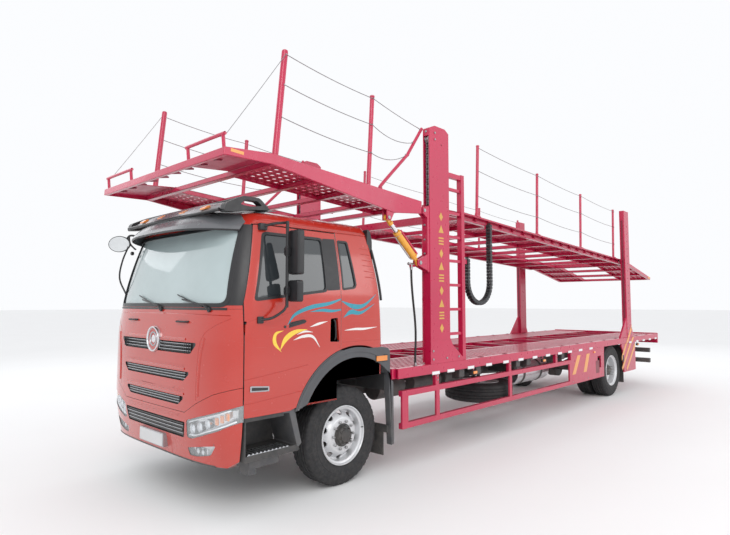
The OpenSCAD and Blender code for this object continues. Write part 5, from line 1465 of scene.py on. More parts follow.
def step(s):
    s.use("black_plastic").prism("x", 830, 860, [(-1270, 520), (-1270, 868), (-880, 868), (-760, 780),
                                                 (-700, 560),
                                                 (-710, 520)], bevel=3)
    s.prism("x", 860, 1212, [(-1276, 500), (-1276, 880), (-1262, 880), (-1262, 500)], bevel=2)
    s.use("dark_grey").prism("x", 860, 1212, [(-880, 890), (-730, 905), (-640, 560), (-690, 520),
                                              (-722, 520), (-700, 560),
                                              (-790, 860), (-880, 862)], bevel=4)
    s.use("black_plastic").box((860, -1268, 520), (1205, -700, 548), 5)
    s.prism("x", 1204, 1218, [(-1272, 498), (-1272, 552), (-700, 556), (-668, 512), (-690, 498)], bevel=4)
    s.prism("x", 1196, 1216, [(-1272, 842), (-1272, 884), (-870, 884), (-850, 842)], bevel=4)
    s.box((860, -1268, 838), (1200, -870, 866), 4)
    s.use("tank_alloy").box((1020, -1240, 546), (1206, -780, 556), 3)
    for k in range(11):
        s.box((1030, -1225 + k * 42, 554), (1196, -1207 + k * 42, 562), 2)
    s.use("chassis_dark").box((430, -1180, 780), (840, -1100, 840), 5)
    s.box((430, -900, 780), (840, -830, 840), 5)
    s.use("dark_grey").box((880, -1150, 395), (1100, -820, 520), 12, 2)
    s.box((900, -1130, 330), (1060, -1040, 400), 10, 2)


steps.both(step)
put("steps", "root", "black_plastic", steps, replaces=("cab_steps",))


# ---------------------------------------------------------------- chassis

for part, body in (("frame_rails", "root"), ("front_axle", "root"), ("rear_axle", "root"),
                   ("leaf_springs", "root"),
                   ("prop_shaft", "root"), ("left_knuckle", "left_knuckle"),
                   ("right_knuckle", "right_knuckle"),
                   ("rear_underrun", "root")):
    soften(part, body, "chassis_dark", 3)

power = Shape().use("chassis_dark")
power.box((-330, -820, 760), (330, 420, 1090), 14, 2)
power.box((-280, -790, 1080), (280, 380, 1138), 10, 2)
power.use("steel").box((-200, 420, 670), (200, 860, 940), 24, 2)
power.lathe((0, 420, 800), [(0.01, 0), (250, 0), (255, 14), (225, 60), (150, 130), (0.01, 130)], 32, "y")
power.use("black_plastic").box((-420, -1010, 620), (420, -940, 1100), 14, 2)
for k in range(28):
    power.box((-400 + k * 29, -1018, 640), (-394 + k * 29, -1008, 1080), 1)
power.lathe((0, -930, 860), [(0.01, 0), (210, 0), (212, 30), (205, 60), (0.01, 60)], 32, "y")
power.both(lambda s: s.use("chassis_dark").box((320, -300, 870), (425, -200, 940), 5))
power.use("chassis_dark").lathe((-560, 900, 780),
                                [(0.01, 0), (120, 0), (125, 10), (125, 560), (118, 574), (0.01, 574)], 32,
                                "y")
power.both(lambda s: s.use("chassis_dark").box((430, 1280, 800), (560, 1340, 880), 5))
power.use("chassis_dark").lathe((560, 1040, 800),
                                [(0.01, 0), (130, 0), (138, 14), (138, 486), (130, 500), (0.01, 500)], 36,
                                "y")
power.lathe((640, 1650, 820), [(0.01, 0), (112, 0), (120, 14), (120, 586), (112, 600), (0.01, 600)], 36, "y")
power.lathe((640, 2350, 820), [(0.01, 0), (112, 0), (120, 14), (120, 436), (112, 450), (0.01, 450)], 36, "y")
power.use("black_plastic").box((470, 3950, 760), (960, 4010, 930), 10, 2)
power.box((-940, 4000, 480), (-480, 4900, 900), 20, 2)
power.use("steel").tube(smooth_run([(440, 420, 980), (560, 700, 990), (600, 900, 960), (600, 1040, 880)], 6),
                        16)
power.tube(smooth_run([(560, 1540, 800), (560, 1600, 830), (600, 1650, 840)], 6), 14)
power.use("hose_rubber").tube(smooth_run([(470, 700, 960), (520, 1000, 930), (500, 1600, 950),
                                          (520, 2400, 960),
                                         (500, 3600, 950), (500, 5600, 940), (450, 7000, 900)], 8), 12)
power.tube(smooth_run([(470, 700, 930), (540, 1100, 900), (480, 1900, 920), (540, 3000, 930),
                       (480, 4300, 900)], 8), 9)
put("engine_parts", "root", "chassis_dark", power, replaces=("engine",))

tank = Shape()
tank.use("tank_alloy").lathe((785, 4050, 730), [(0.01, 6), (150, 2), (172, 0), (185, 14), (185, 1086),
                                                (172, 1100), (150, 1098),
                                               (0.01, 1094)], 56, "y")
tank.lathe((785, 4595, 730), [(184, 0), (187.5, 3), (187.5, 9), (184, 12)], 56, "y")
tank.use("chassis_dark")
for y in (4250, 4850):
    tank.lathe((785, y - 25, 730), [(185.5, 0), (193, 0), (193, 50), (185.5, 50)], 56, "y")
    tank.box((430, y - 30, 770), (620, y + 30, 850), 5)
    tank.box((600, y - 30, 540), (640, y + 30, 860), 5)
    tank.use("steel").nut((785, y, 536), 14, 10, "y").use("chassis_dark")
tank.use("black_plastic").lathe((860, 4160, 905),
                                [(0.01, -10), (48, -10), (50, 0), (50, 24), (44, 30), (0.01, 30)], 24, "z")
put("tank", "root", "tank_alloy", tank, replaces=("fuel_tank",))

spare = Shape(Matrix.Translation((690, 3300, 560)) @ Matrix.Rotation(-math.pi / 2, 4, "Y"))
tyre(spare, (0, 0, 0), 128)
spare.use("wheel_silver").lathe((0, 0, 0), RIM_EDGE + BULGED + RIM_BACK, 72)
spare.place = Matrix.Identity(4)
spare.use("chassis_dark").box((560, 3270, 582), (820, 3330, 604), 5)
spare.bar((690, 3300, 540), (690, 3300, 850), 28, 16)
spare.box((430, 3260, 790), (700, 3340, 850), 5)
spare.box((660, 3240, 780), (720, 3360, 860), 8)
spare.use("steel").nut((690, 3300, 530), 34, 24, "z")
put("spare", "root", "tyre", spare, replaces=("spare_wheel",), sharp=38)


# ---------------------------------------------------------------- deck frames

FRONT_DECK = Matrix.Translation((0, 1215, 3085)) @ Matrix.Rotation(math.radians(-3.6), 4, "X")
REAR_DECK = Matrix.Translation((0, 2180, 3110)) @ Matrix.Rotation(math.radians(-2.7), 4, "X")
FLAP = REAR_DECK @ Matrix.Translation((0, 6592, -40)) @ Matrix.Rotation(math.radians(-7.5), 4, "X")
SIDE = 1275


def perforated(name, body, parts, place=None):
    """Wheel tracks of perforated plate; each part is a box and its number of holes across and along"""
    shape = Shape(place).use("track_red")
    for x0, x1, y0, y1, z0, z1, across, along, radius in parts:
        shape.both(lambda s: s.holed(x0, x1, y0, y1, z0, z1, across, along, radius))
    piece = put(name, body, "deck_red", shape, weighted=False, sharp=30)
    bm = bmesh.new()
    bm.from_mesh(piece.data)
    bmesh.ops.remove_doubles(bm, verts=bm.verts, dist=0.00005)
    bm.to_mesh(piece.data)
    bm.free()
    return piece


# ---------------------------------------------------------------- lower deck

perforated("lower_tracks", "root", [(480, 1196, 700, 10380, 1121, 1129, 7, 100, 27)])
base = Shape().use("deck_red")


def lower_side(s):
    s.use("deck_red").box((1255, 700, 1020), (SIDE, 10380, 1135), 6, 2)
    s.box((1195, 700, 1122), (1262, 10380, 1135), 5)
    s.box((1195, 700, 1020), (1262, 10380, 1030), 4)
    # Inner web of the channel in the darker deck paint: painted shade
    s.use("deck_painted_shade").box((1195, 702, 1028), (1203, 10378, 1124), 2)
    s.use("deck_red").box((420, 700, 1065), (430, 10380, 1129), 3)
    s.box((420, 700, 1120), (482, 10380, 1129), 3)
    s.box((350, 700, 1000), (430, 10380, 1075), 5)
    s.use("reflector")
    for y in (1407, 1724, 2182, 2635, 3102, 3551, 4005, 4461, 4914, 5320, 5778, 6260, 8450, 8900, 9350, 9800,
              10250):
        s.use("plate_white").box((SIDE - 2, y - 77, 1006), (SIDE + 2, y + 77, 1046), 1)
        s.use("reflector").box((SIDE, y - 71, 1011), (SIDE + 5, y + 71, 1041), 2)
    for y in (2300, 4349, 5560, 9000):
        s.use("black_plastic").box((1225, y - 50, 925), (1262, y + 50, 975), 4)
        s.use("lamp_orange").box((1260, y - 42, 932), (1273, y + 42, 968), 4, 2)
        s.use("deck_red").box((1232, y - 12, 970), (1240, y + 12, 1024), 2)
    for y in range(900, 10300, 700):
        s.use("deck_red").prism("y", y - 4, y + 4, [(1203, 1029), (1254, 1029), (1254, 1121), (1203, 1121)],
                                bevel=1)
    # Lashing points as dark pads with a round mark: painted shade of the slots
    s.use("deck_painted_shade")
    for y in (1850, 2500, 3150, 3800, 4450, 5100, 5750, 6400, 7050, 7700, 9000, 9700):
        s.box((1204, y - 42, 1133), (1252, y + 42, 1139), 2)
        s.disc((1228, y, 1138), 13, 6, "z", 12)


base.both(lower_side)
base.use("deck_red")
for y in range(750, 10200, 700):
    base.box((-1205, y - 30, 1055), (1205, y - 22, 1118), 2)
    base.box((-1205, y - 30, 1110), (1205, y + 30, 1118), 2)
    base.box((-1205, y - 30, 1055), (1205, y + 30, 1063), 2)
base.box((-SIDE, 10380, 910), (SIDE, 10440, 1150), 8, 2)
base.box((-1235, 640, 1020), (1235, 730, 1135), 6, 2)
for y in (2100, 3500, 4900, 6300):
    base.prism("z", 1112, 1120, [(-420, y - 20), (420, y + 640), (420, y + 690), (-420, y + 30)], bevel=2)
# Dark trapezoids on the rear beam: painted shade of its openings
base.use("deck_painted_shade")
for x in (-1050, -650, -250, 250, 650, 1050):
    base.prism("y", 10436, 10444, [(x - 75, 960), (x + 75, 960), (x + 60, 1100), (x - 60, 1100)], bevel=2)


def rear_lamps(s):
    s.use("black_plastic").box((890, 10436, 945), (1225, 10450, 1065), 6, 2)
    s.use("lamp_red").box((900, 10448, 955), (1010, 10462, 1055), 6, 2)
    s.use("lamp_orange").box((1016, 10448, 955), (1112, 10462, 1055), 6, 2)
    s.use("lamp_white").box((1118, 10448, 955), (1215, 10462, 1055), 6, 2)
    s.use("lamp_red").disc((700, 10440, 1080), 32, 10, "y", 24)


base.both(rear_lamps)
base.use("plate_white").box((-240, 10436, 935), (240, 10446, 1055), 3)
put("lower_deck_frame", "root", "deck_red", base, replaces=("lower_deck",))


# ---------------------------------------------------------------- towers, posts and ladder

soften("front_towers", "root", "deck_red", 5)
soften("rear_posts", "root", "deck_red", 5)
soften("ladder", "root", "deck_red", 4)
soften("side_guards", "root", "deck_red", 4)
soften("rear_panels", "root", "deck_red", 4)

extras = Shape()


TOWER_X = 1225
FIRST_RUNG, LAST_RUNG, RUNG_PITCH = 1480, 3340, 310
MARK_Z, MARK_PITCH, MARK_COUNT = 1560, 154, 10
# Half width of a slanted warning stripe, and the panel, post and deck edge that it is painted on
STRIPE_HALF = 34
STRIPE_WINDOWS = [(1259, 1263, (7940, 8800, 420, 1010)), (SIDE - 1, SIDE + 2, (8284, 8556, 1136, 1560)),
                  (SIDE - 1, SIDE + 2, (7800, 8800, 1021, 1134))]


def clipped(points, y0, y1, z0, z1):
    """Outline kept inside a rectangle"""
    for axis, limit, keep in ((0, y0, 1), (0, y1, -1), (1, z0, 1), (1, z1, -1)):
        out = []
        for p, q in zip(points, points[1:] + points[:1]):
            a, b = (p[axis] - limit) * keep, (q[axis] - limit) * keep
            if a >= 0:
                out.append(p)
            if a * b < 0:
                t = a / (a - b)
                out.append((p[0] + (q[0] - p[0]) * t, p[1] + (q[1] - p[1]) * t))
        points = out
        if len(points) < 3:
            return None
    return points


def tower_details(s):
    s.use("deck_red").box((SIDE - 3, 1314, 1412), (SIDE + 1.5, 1716, 1420), 1)
    s.box((1170, 1702, 1400), (SIDE + 1, 1722, 1436), 3)
    s.box((1176, 1306, 1400), (SIDE, 1312, 1412), 1)
    # Dark strip behind the ratchet teeth: painted shade in the tower's slot
    s.use("deck_painted_shade").box((1189, 1366, 3062), (1261, 1371, 3938), 1)
    s.use("steel")
    for k in range(27):
        z = 3078 + k * 32
        wide = 16 if k % 2 else 24
        for x in (1225 - wide, 1225 - wide + 6, 1225 + wide - 6, 1225 + wide):
            s.prism("x", x - 1.6, x + 1.6, [(1338, z - 22), (1354, z - 22), (1360, z), (1354, z + 22),
                                            (1338, z + 22),
                                            (1332, z)], bevel=0)
        s.bar((1197, 1346, z + 16), (1253, 1346, z + 16), 6, 8)
    s.lathe((1195, 1372, 3905), [(18, 0), (58, 0), (60, 6), (48, 12), (48, 48), (60, 54), (58, 60),
                                 (18, 60)], 28)
    s.use("deck_red").box((1182, 1316, 3952), (1268, 1420, 4032), 6)
    s.use("steel").nut((1225, 1316, 3992), 17, -14, "y")
    for y, z in ((1420, 3990), (1420, 3905)):
        s.nut((SIDE, y, z), 15, 9)
    # Dark disc on the tower side: a painted hole, painted shade
    s.use("deck_painted_shade").disc((SIDE, 1560, 3860), 11, 2.5, "x", 16)
    s.use("steel")
    for y, z in ((1358, 1190), (1358, 1290), (1900, 1190), (1640, 1190)):
        s.nut((SIDE, y, z), 15, 9)
    s.use("deck_red").box((1186, 1288, 2240), (1264, 1314, 3050), 6)
    s.box((1184, 1268, 2440), (1190, 1300, 2900), 2)
    s.box((1260, 1268, 2440), (1266, 1300, 2900), 2)
    for z in (2470, 2640, 2820):
        s.use("steel").nut((1225, 1270, z), 15, -12, "y")
    s.use("steel").nut((1266, 1130, 2350), 26, 8)
    s.nut((1266, 1215, 2990), 24, 8)
    s.use("deck_red").bar((1150, 1330, 1150), (1150, 1330, 2620), 14, 12)
    for z in (1300, 1900, 2500):
        s.box((1140, 1315, z), (1180, 1345, z + 30), 3)
    s.use("gold")
    for k in range(MARK_COUNT):
        z = MARK_Z + k * MARK_PITCH
        half = 52 if k % 3 else 40
        if k % 3 == 0:
            s.prism("x", SIDE - 1, SIDE + 2, [(1538 - half, z), (1538, z - 56), (1538 + half, z),
                                              (1538, z + 56)], bevel=0)
        elif k % 3 == 1:
            for dz in (-42, -6, 30):
                s.box((SIDE - 1, 1538 - half, z + dz), (SIDE + 2, 1538 + half, z + dz + 18), 0)
        else:
            s.prism("x", SIDE - 1, SIDE + 2, [(1538 - half, z - 48), (1538 + half, z - 48), (1538, z + 50)],
                    bevel=0)
    s.use("deck_red")
    for z in range(FIRST_RUNG, LAST_RUNG + 1, RUNG_PITCH):
        s.bar((TOWER_X, 1712, z), (TOWER_X, 2026, z), 17, 14)
    s.box((1187, 2016, 1136), (1263, 2092, 1150), 3)
    s.box((1184, 8284, 3700), (1266, 8300, 3840), 3)
    # Dark slot down the rear post and dark pin holes beside it: painted shade
    s.use("deck_painted_shade").box((1205, 8274, 1500), (1245, 8282, 3650), 2)
    for z in range(1600, 3600, 160):
        s.disc((SIDE, 8420, z), 13, 2, "x", 14)
    s.use("steel")
    for z in (1210, 1330):
        for y in (8320, 8520):
            s.nut((SIDE, y, z), 14, 9)
    s.use("stripe")
    for low, high in (((7870, 640), (8700, 1500)), ((7950, 497), (8760, 1240)), ((8233, 470), (8780, 960))):
        (ya, za), (yb, zb) = low, high
        run = Vector((yb - ya, zb - za)).normalized()
        turn = Vector((-run.y, run.x)) * STRIPE_HALF
        points = [(ya - turn.x, za - turn.y), (yb - turn.x, zb - turn.y), (yb + turn.x, zb + turn.y),
                  (ya + turn.x, za + turn.y)]
        for x0, x1, window in STRIPE_WINDOWS:
            piece = clipped(points, *window)
            if piece:
                s.prism("x", x0, x1, piece, bevel=0)


extras.both(tower_details)


def guard_details(s):
    s.use("deck_red")
    for z in (470, 866):
        s.box((1212, 790, z - 6), (1222, 5340, z + 6), 2)
    s.use("black_plastic")
    for y in (1450, 3240, 4800):
        s.box((1216, y - 26, 892), (1226, y + 26, 1012), 2)
        s.use("steel").nut((1266, y, 940), 11, 6).nut((1266, y, 985), 11, 6).use("black_plastic")
    for y in (2050, 2450, 3560, 3900, 5150):
        s.use("chassis_dark").box((1150, y - 60, 905), (1225, y + 60, 1018), 8)
        s.box((1080, y - 24, 880), (1170, y + 24, 1018), 5)
    s.use("stripe")
    for a, b in ((5397, 5772), (5887, 6187)):
        s.prism("x", SIDE - 1, SIDE + 2, [(a, 622), (a + 136, 622), (b, 940), (b - 140, 940)], bevel=0)
    s.use("black_plastic").prism("x", 1215, SIDE - 6, [(6480, 555), (6630, 555), (6640, 775), (6490, 775)],
                                 bevel=3)
    # Dark panel over the black box: painted shade
    s.use("deck_painted_shade").box((SIDE - 2, 6472, 548), (SIDE + 1, 6648, 782), 1)
    s.use("lamp_orange").box((SIDE, 6380, 930), (SIDE + 12, 6450, 965), 4, 2)
    s.use("steel")
    for y, z in ((5420, 500), (5420, 960), (6800, 500), (6800, 960), (6100, 500)):
        s.nut((SIDE - 1, y, z), 10, 7)
    s.use("black_plastic").box((1262, 7985, 640), (1268, 8050, 780), 3)


extras.both(guard_details)
put("structure_details", "root", "deck_red", extras)


# ---------------------------------------------------------------- front upper deck

RAIL_X = 1145
KINK, NOSE_Y = -2277, -2772
MID_POST_Y = -940
perforated("front_tracks", "front_deck", [(560, 1246, KINK + 10, -125, -48, -40, 7, 22, 27)], FRONT_DECK)
front = Shape(FRONT_DECK)


def front_side(s):
    s.use("deck_red").prism("x", 1258, SIDE, [(-62, 0), (KINK, 0), (NOSE_Y, -70), (NOSE_Y, -140),
                                              (KINK, -100), (-560, -230),
                                              (-62, -150)], bevel=5)
    s.prism("x", 1238, 1262, [(-66, -2), (KINK, -2), (KINK, -14), (-66, -14)], bevel=3)
    s.prism("x", 1238, 1262, [(-66, -140), (-560, -218), (KINK, -92), (KINK, -100), (-560, -228),
                              (-66, -150)], bevel=2)
    s.box((1195, KINK, -40), (1245, -62, -30), 3)
    s.box((540, KINK, -90), (548, -122, -40), 2)
    s.box((540, KINK, -48), (566, -122, -40), 2)
    s.use("track_red").prism("x", 560, 1245, [(NOSE_Y + 50, -100), (KINK, -40), (KINK, -48),
                                              (NOSE_Y + 50, -108)], bevel=2)
    # Dark slits along the inside of the side plate: painted shade
    s.use("deck_painted_shade")
    for y in (-2150, -1700, -1250, -800, -350):
        s.box((1256, y - 40, -33), (1257.5, y + 40, -29), 0)
    for y in (-2000, -1500, -1000, -520):
        s.use("deck_red").prism("y", y - 4, y + 4, [(1200, -44), (1258, -44), (1258, -118)], bevel=1)
    s.use("stripe").box((SIDE - 1, NOSE_Y + 60, -98), (SIDE + 1.5, NOSE_Y + 190, -70), 0)


front.both(front_side)
front.use("deck_red")
for y in (KINK, -1650, -1100, -560, -132):
    front.box((-1258, y, -100), (1258, y + 8, -48), 2)
    front.box((-1258, y, -56), (1258, y + 60, -48), 2)
    front.box((-1258, y, -100), (1258, y + 60, -92), 2)
front.prism("x", -1262, 1262, [(NOSE_Y, -70), (NOSE_Y, -140), (NOSE_Y + 50, -133), (NOSE_Y + 50, -62)],
            bevel=5, segments=2)
# Ribs under the nose in the darker deck paint: painted shade
front.use("deck_painted_shade")
for x in range(-1000, 1001, 250):
    front.prism("x", x - 4, x + 4, [(NOSE_Y + 48, -70), (NOSE_Y + 48, -130), (NOSE_Y + 150, -104),
                                    (NOSE_Y + 150, -92)], bevel=0)
front.place = Matrix.Identity(4)


def front_hinge(s):
    s.use("deck_red").bar((1210, 1215, 2990), (1240, 1215, 2990), 42, 32)
    s.bar((1183, 1215, 2990), (1267, 1215, 2990), 20, 24)
    s.prism("x", 1210, 1240, [(1075, 2950), (1075, 3050), (1210, 3028), (1210, 2952)], bevel=4)
    for x in (1185, 1245):
        s.prism("x", x, x + 20, [(530, 2800), (530, 3000), (720, 3000), (600, 2800)], bevel=4)
    s.bar((1204, 560, 2830), (1246, 560, 2830), 14, 20)
    s.use("steel").nut((1265, 560, 2830), 22, 8)


front.both(front_hinge)
put("front_deck_frame", "front_deck", "deck_red", front, replaces=("front_upper_deck",))

posts = Shape(FRONT_DECK)
front_stays = Shape(FRONT_DECK).use("wire")


def wire(shape, a, b, sag, radius=4.0):
    a, b = Vector(a), Vector(b)
    path = [a.lerp(b, k / 12) - Vector((0, 0, sag * 4 * (k / 12) * (1 - k / 12))) for k in range(13)]
    shape.tube(path, radius, 6)


def front_post(s):
    s.use("deck_red")
    for y in (KINK + 90, MID_POST_Y):
        s.box((1196, y - 52, -30), (1246, y + 52, -14), 4)
        s.use("steel")
        for dy in (-40, 40):
            s.nut((1212, y + dy, -14), 8, 8, "z")
        s.use("deck_red")
    s.bar((1212, KINK + 70, -25), (1212, KINK + 110, 1040), 31, 24)
    s.bar((1212, MID_POST_Y, -25), (1212, MID_POST_Y, 1020), 25, 24)
    for y, z in ((KINK + 110, 1040), (MID_POST_Y, 1020)):
        s.lathe((1212, y, z), [(0.01, -10), (27, -10), (29, -4), (29, 6), (20, 14), (0.01, 16)], 20, "z")
    for y, radius in ((KINK + 100, 31), (MID_POST_Y, 25)):
        for z in (380, 700, 1000):
            s.use("steel").bar((1212 + radius - 6, y, z), (1212 + radius + 8, y, z), 6, 8)
            s.use("deck_red")
    for x in (615, 1215):
        s.bar((x, NOSE_Y + 30, -65), (x, NOSE_Y + 11, 55), 16, 16)
    s.tube(smooth_run([(615, NOSE_Y + 13, 40), (616, NOSE_Y + 11, 52), (630, NOSE_Y + 11, 56),
                       (1200, NOSE_Y + 11, 56),
                       (1214, NOSE_Y + 11, 52), (1215, NOSE_Y + 13, 40)], 3), 16, 12)
    s.box((RAIL_X - 40, -706, -40), (RAIL_X + 30, -616, -26), 3)
    s.tube(smooth_run([(RAIL_X, -662, -30), (RAIL_X, -662, 50), (RAIL_X, -650, 96), (RAIL_X, -235, 537),
                       (RAIL_X, -200, 580), (RAIL_X, 45, 960)], 5), 20, 16)
    s.ball((RAIL_X, 45, 960), 21)


posts.both(front_post)
put("front_posts", "front_deck", "deck_red", posts, replaces=("front_deck_posts",))


def front_wires(s):
    s.use("wire")
    ends = {1000: (RAIL_X, 40, 950), 700: (RAIL_X, -95, 745), 380: (RAIL_X, -215, 560)}
    for z, end in ends.items():
        sag = 12 if z == 1000 else 70
        wire(s, (1243, KINK + 100, z), (1237, MID_POST_Y, z - 10), 22)
        wire(s, (1237, MID_POST_Y, z - 10), end, sag)
        if z == 1000:
            wire(s, (1243, KINK + 100, z), (1215, NOSE_Y + 40, 62.4), 6, 3)
        s.use("steel").bar(Vector(end) - Vector((0, 36, 4)), Vector(end), 9, 8)
        s.use("wire")


front_stays.both(front_wires)
put("front_wires", "front_deck", "deck_red", front_stays, weighted=False)


# ---------------------------------------------------------------- rear upper deck

perforated("rear_tracks", "rear_deck", [(480, 1082, 62, 6498, -40, -32, 6, 66, 27)], REAR_DECK)
rear = Shape(REAR_DECK)
LENGTH = 6560


def rear_side(s):
    s.use("deck_red").box((1080, 0, -110), (1090, LENGTH, 0), 3)
    s.box((1080, 0, -9), (1150, LENGTH, 0), 3)
    s.box((1080, 0, -110), (1150, LENGTH, -101), 3)
    s.box((1142, 0, -24), (1150, LENGTH, -2), 2)
    s.box((1142, 0, -108), (1150, LENGTH, -90), 2)
    s.box((440, 60, -90), (448, LENGTH - 60, -32), 2)
    s.box((440, 60, -40), (484, LENGTH - 60, -32), 2)
    for y in range(60, LENGTH - 60, 357):
        s.prism("y", y - 4, y + 4, [(1090, -101), (1140, -101), (1140, -90), (1100, -9), (1090, -9)],
                bevel=1)
    # Dark patches on the top of the side beam: painted shade of its slots
    for y in range(200, LENGTH, 900):
        s.use("deck_painted_shade").box((1098, y - 50, 0), (1134, y + 50, 2), 0)
        s.use("deck_red")
    s.prism("y", LENGTH, LENGTH + 32, [(480, -60), (520, -60), (520, -20), (480, -20)], bevel=3)
    s.prism("y", LENGTH, LENGTH + 32, [(990, -60), (1030, -60), (1030, -20), (990, -20)], bevel=3)
    for x in (480, 990):
        s.bar((x, LENGTH + 32, -40), (x + 40, LENGTH + 32, -40), 20, 24)
    s.use("steel").bar((476, LENGTH + 32, -40), (1090, LENGTH + 32, -40), 10, 16)
    s.use("deck_red")
    for y in (450, 2310, 4120, 5860):
        s.box((1076, y - 56, -4), (1154, y + 56, 10), 3)
        s.prism("x", 1109, 1121, [(y - 52, 8), (y - 20, 8), (y - 20, 90)], bevel=1)
        s.prism("x", 1109, 1121, [(y + 52, 8), (y + 20, 8), (y + 20, 90)], bevel=1)
        s.bar((1115, y, 0), (1115, y, 1030), 22, 20)
        s.lathe((1115, y, 1030), [(0.01, -8), (24, -8), (25, 4), (18, 11), (0.01, 12)], 20, "z")
        for z in (290, 655, 990):
            s.use("steel").bar((1132, y, z), (1145, y, z), 6, 8)
            s.use("deck_red")


rear.both(rear_side)
rear.use("deck_red")
for y in range(60, LENGTH - 60, 715):
    rear.box((-1082, y - 30, -100), (1082, y - 22, -40), 2)
    rear.box((-1082, y - 30, -48), (1082, y + 30, -40), 2)
    rear.box((-1082, y - 30, -100), (1082, y + 30, -92), 2)
for y in (0, LENGTH - 60):
    rear.box((-1150, y, -110), (1150, y + 60, 0), 6, 2)
rear.place = Matrix.Identity(4)
rear_post_y = 8420
rear_post_z = 3110 - (rear_post_y - 2180) * math.tan(math.radians(2.7)) - 55


def rear_shoes(s):
    s.use("deck_red").box((1100, 1370, 3015), (1150, 2220, 3095), 6)
    s.box((1140, 1370, 2915), (1174.7, 1658, 3195), 5)
    s.use("black_plastic").box((1168, 1380, 2925), (1174.7, 1648, 3185), 1)
    s.use("deck_red").box((1140, rear_post_y - 100, rear_post_z - 60),
                          (1174.7, rear_post_y + 100, rear_post_z + 60), 5)
    s.use("steel")
    for z in (2960, 3150):
        s.nut((1140, 1420, z), 13, -9)
        s.nut((1140, 1600, z), 13, -9)


rear.both(rear_shoes)
rear.use("deck_red").box((1130, 2800, 2920), (1160, 2840, 2980), 4)
put("rear_deck_frame", "rear_deck", "deck_red", rear, replaces=("rear_upper_deck", "rear_deck_posts"))

fence = Shape(REAR_DECK)


def fence_wires(s):
    s.use("wire")
    runs = (450, 2310, 4120, 5860)
    for a, b in zip(runs, runs[1:]):
        for z, sag in ((290, 26), (655, 22), (990, 18)):
            wire(s, (1142, a, z), (1142, b, z), sag)


fence.both(fence_wires)
put("rear_wires", "rear_deck", "deck_red", fence, weighted=False)

perforated("flap_tracks", "tail_flap", [(480, 1092, 42, 1698, 22, 30, 6, 17, 27)], FLAP)
flap = Shape(FLAP)


def flap_side(s):
    s.use("deck_red").box((1090, 40, -30), (1150, 1700, 30), 6, 2)
    s.box((440, 40, -26), (448, 1700, 30), 2)
    s.box((440, 40, 22), (484, 1700, 30), 2)
    for x in (525, 1035):
        s.lathe((x, 0, 0), [(10.5, 0), (20, 0), (20, 40), (10.5, 40)], 28)
        s.prism("x", x, x + 40, [(17, -18), (42, -18), (42, 18), (17, 18)], bevel=2)
    s.use("stripe").box((1149, 1520, -24), (1151.5, 1660, 24), 0)


flap.both(flap_side)
flap.use("deck_red")
for y in (40, 600, 1150, 1650):
    flap.box((-1092, y, -30), (1092, y + 8, 22), 2)
    flap.box((-1092, y, 14), (1092, y + 50, 22), 2)
    flap.box((-1092, y, -30), (1092, y + 50, -22), 2)
put("flap_frame", "tail_flap", "deck_red", flap, replaces=("rear_deck_flap",))


# ---------------------------------------------------------------- tilt cylinders

BARREL_PIN, BARREL_TILT = (1225, 1130, 2350), -40.1
barrels, rods = Shape(), Shape()
for side in (1, -1):
    pin = (side * BARREL_PIN[0], BARREL_PIN[1], BARREL_PIN[2])
    where = (Matrix.Translation(pin) @ Matrix.Rotation(math.radians(BARREL_TILT), 4, "X")
             @ Matrix.Rotation(math.radians(-90), 4, "Z"))
    barrels.place = rods.place = where
    barrels.use("cylinder_yellow").lathe((0, 0, 0), [(26, 500), (40, 500), (40, 130), (34, 96), (26, 96)],
                                         40)
    barrels.lathe((0, 0, 0), [(30, 480), (46, 480), (46, 516), (42, 520), (30, 520)], 40)
    barrels.lathe((0, 0, 0), [(30, 100), (45, 100), (45, 128), (30, 128)], 40)
    barrels.box((30, -14, -24), (104, 14, 24), 4)
    barrels.lathe((0, -14, 0), [(20.5, 0), (38, 0), (38, 28), (20.5, 28)], 32, "y")
    barrels.use("steel").tube([(480, 0, -40), (480, 0, -62), (440, 0, -66), (160, 0, -66), (130, 0, -60),
                               (122, 0, -40)], 7, 8)
    barrels.lathe((476, 0, 0), [(38, 0), (49, 0), (49, 8), (38, 8)], 6)
    barrels.use("deck_red").box((92, -26, 44), (490, 26, 66), 4)
    barrels.box((92, -26, 36), (120, 26, 46), 3)
    barrels.box((470, -26, 36), (490, 26, 46), 3)
    rods.use("rod_chrome").lathe((0, 0, 0), [(0.01, 190), (23, 190), (25, 194), (25, 650), (0.01, 650)], 32)
    rods.use("cylinder_yellow").lathe((0, 0, 0),
                                      [(0.01, 640), (30, 640), (32, 644), (32, 668), (28, 674), (0.01, 674)],
                                      28)
    rods.box((655, -14, -24), (728, 14, 24), 4)
    rods.lathe((745.2, -14, 0), [(23, 0), (34, 0), (34, 28), (23, 28)], 32, "y")
put("cylinder_barrels", "tilt_barrel_pair", "cylinder_yellow", barrels,
    replaces=("tilt_barrels", "barrel_cradles"))
put("cylinder_rods", "tilt_rod_pair", "rod_chrome", rods, replaces=("tilt_rods",))


# ---------------------------------------------------------------- drag chain

CHAIN_X, LOOP_Y, LOOP_Z, LOOP_R = 1195, 2530, 2160, 290
FIXED_LEG, MOVING_LEG, LINK_PITCH = 300.0, 830.0, 46


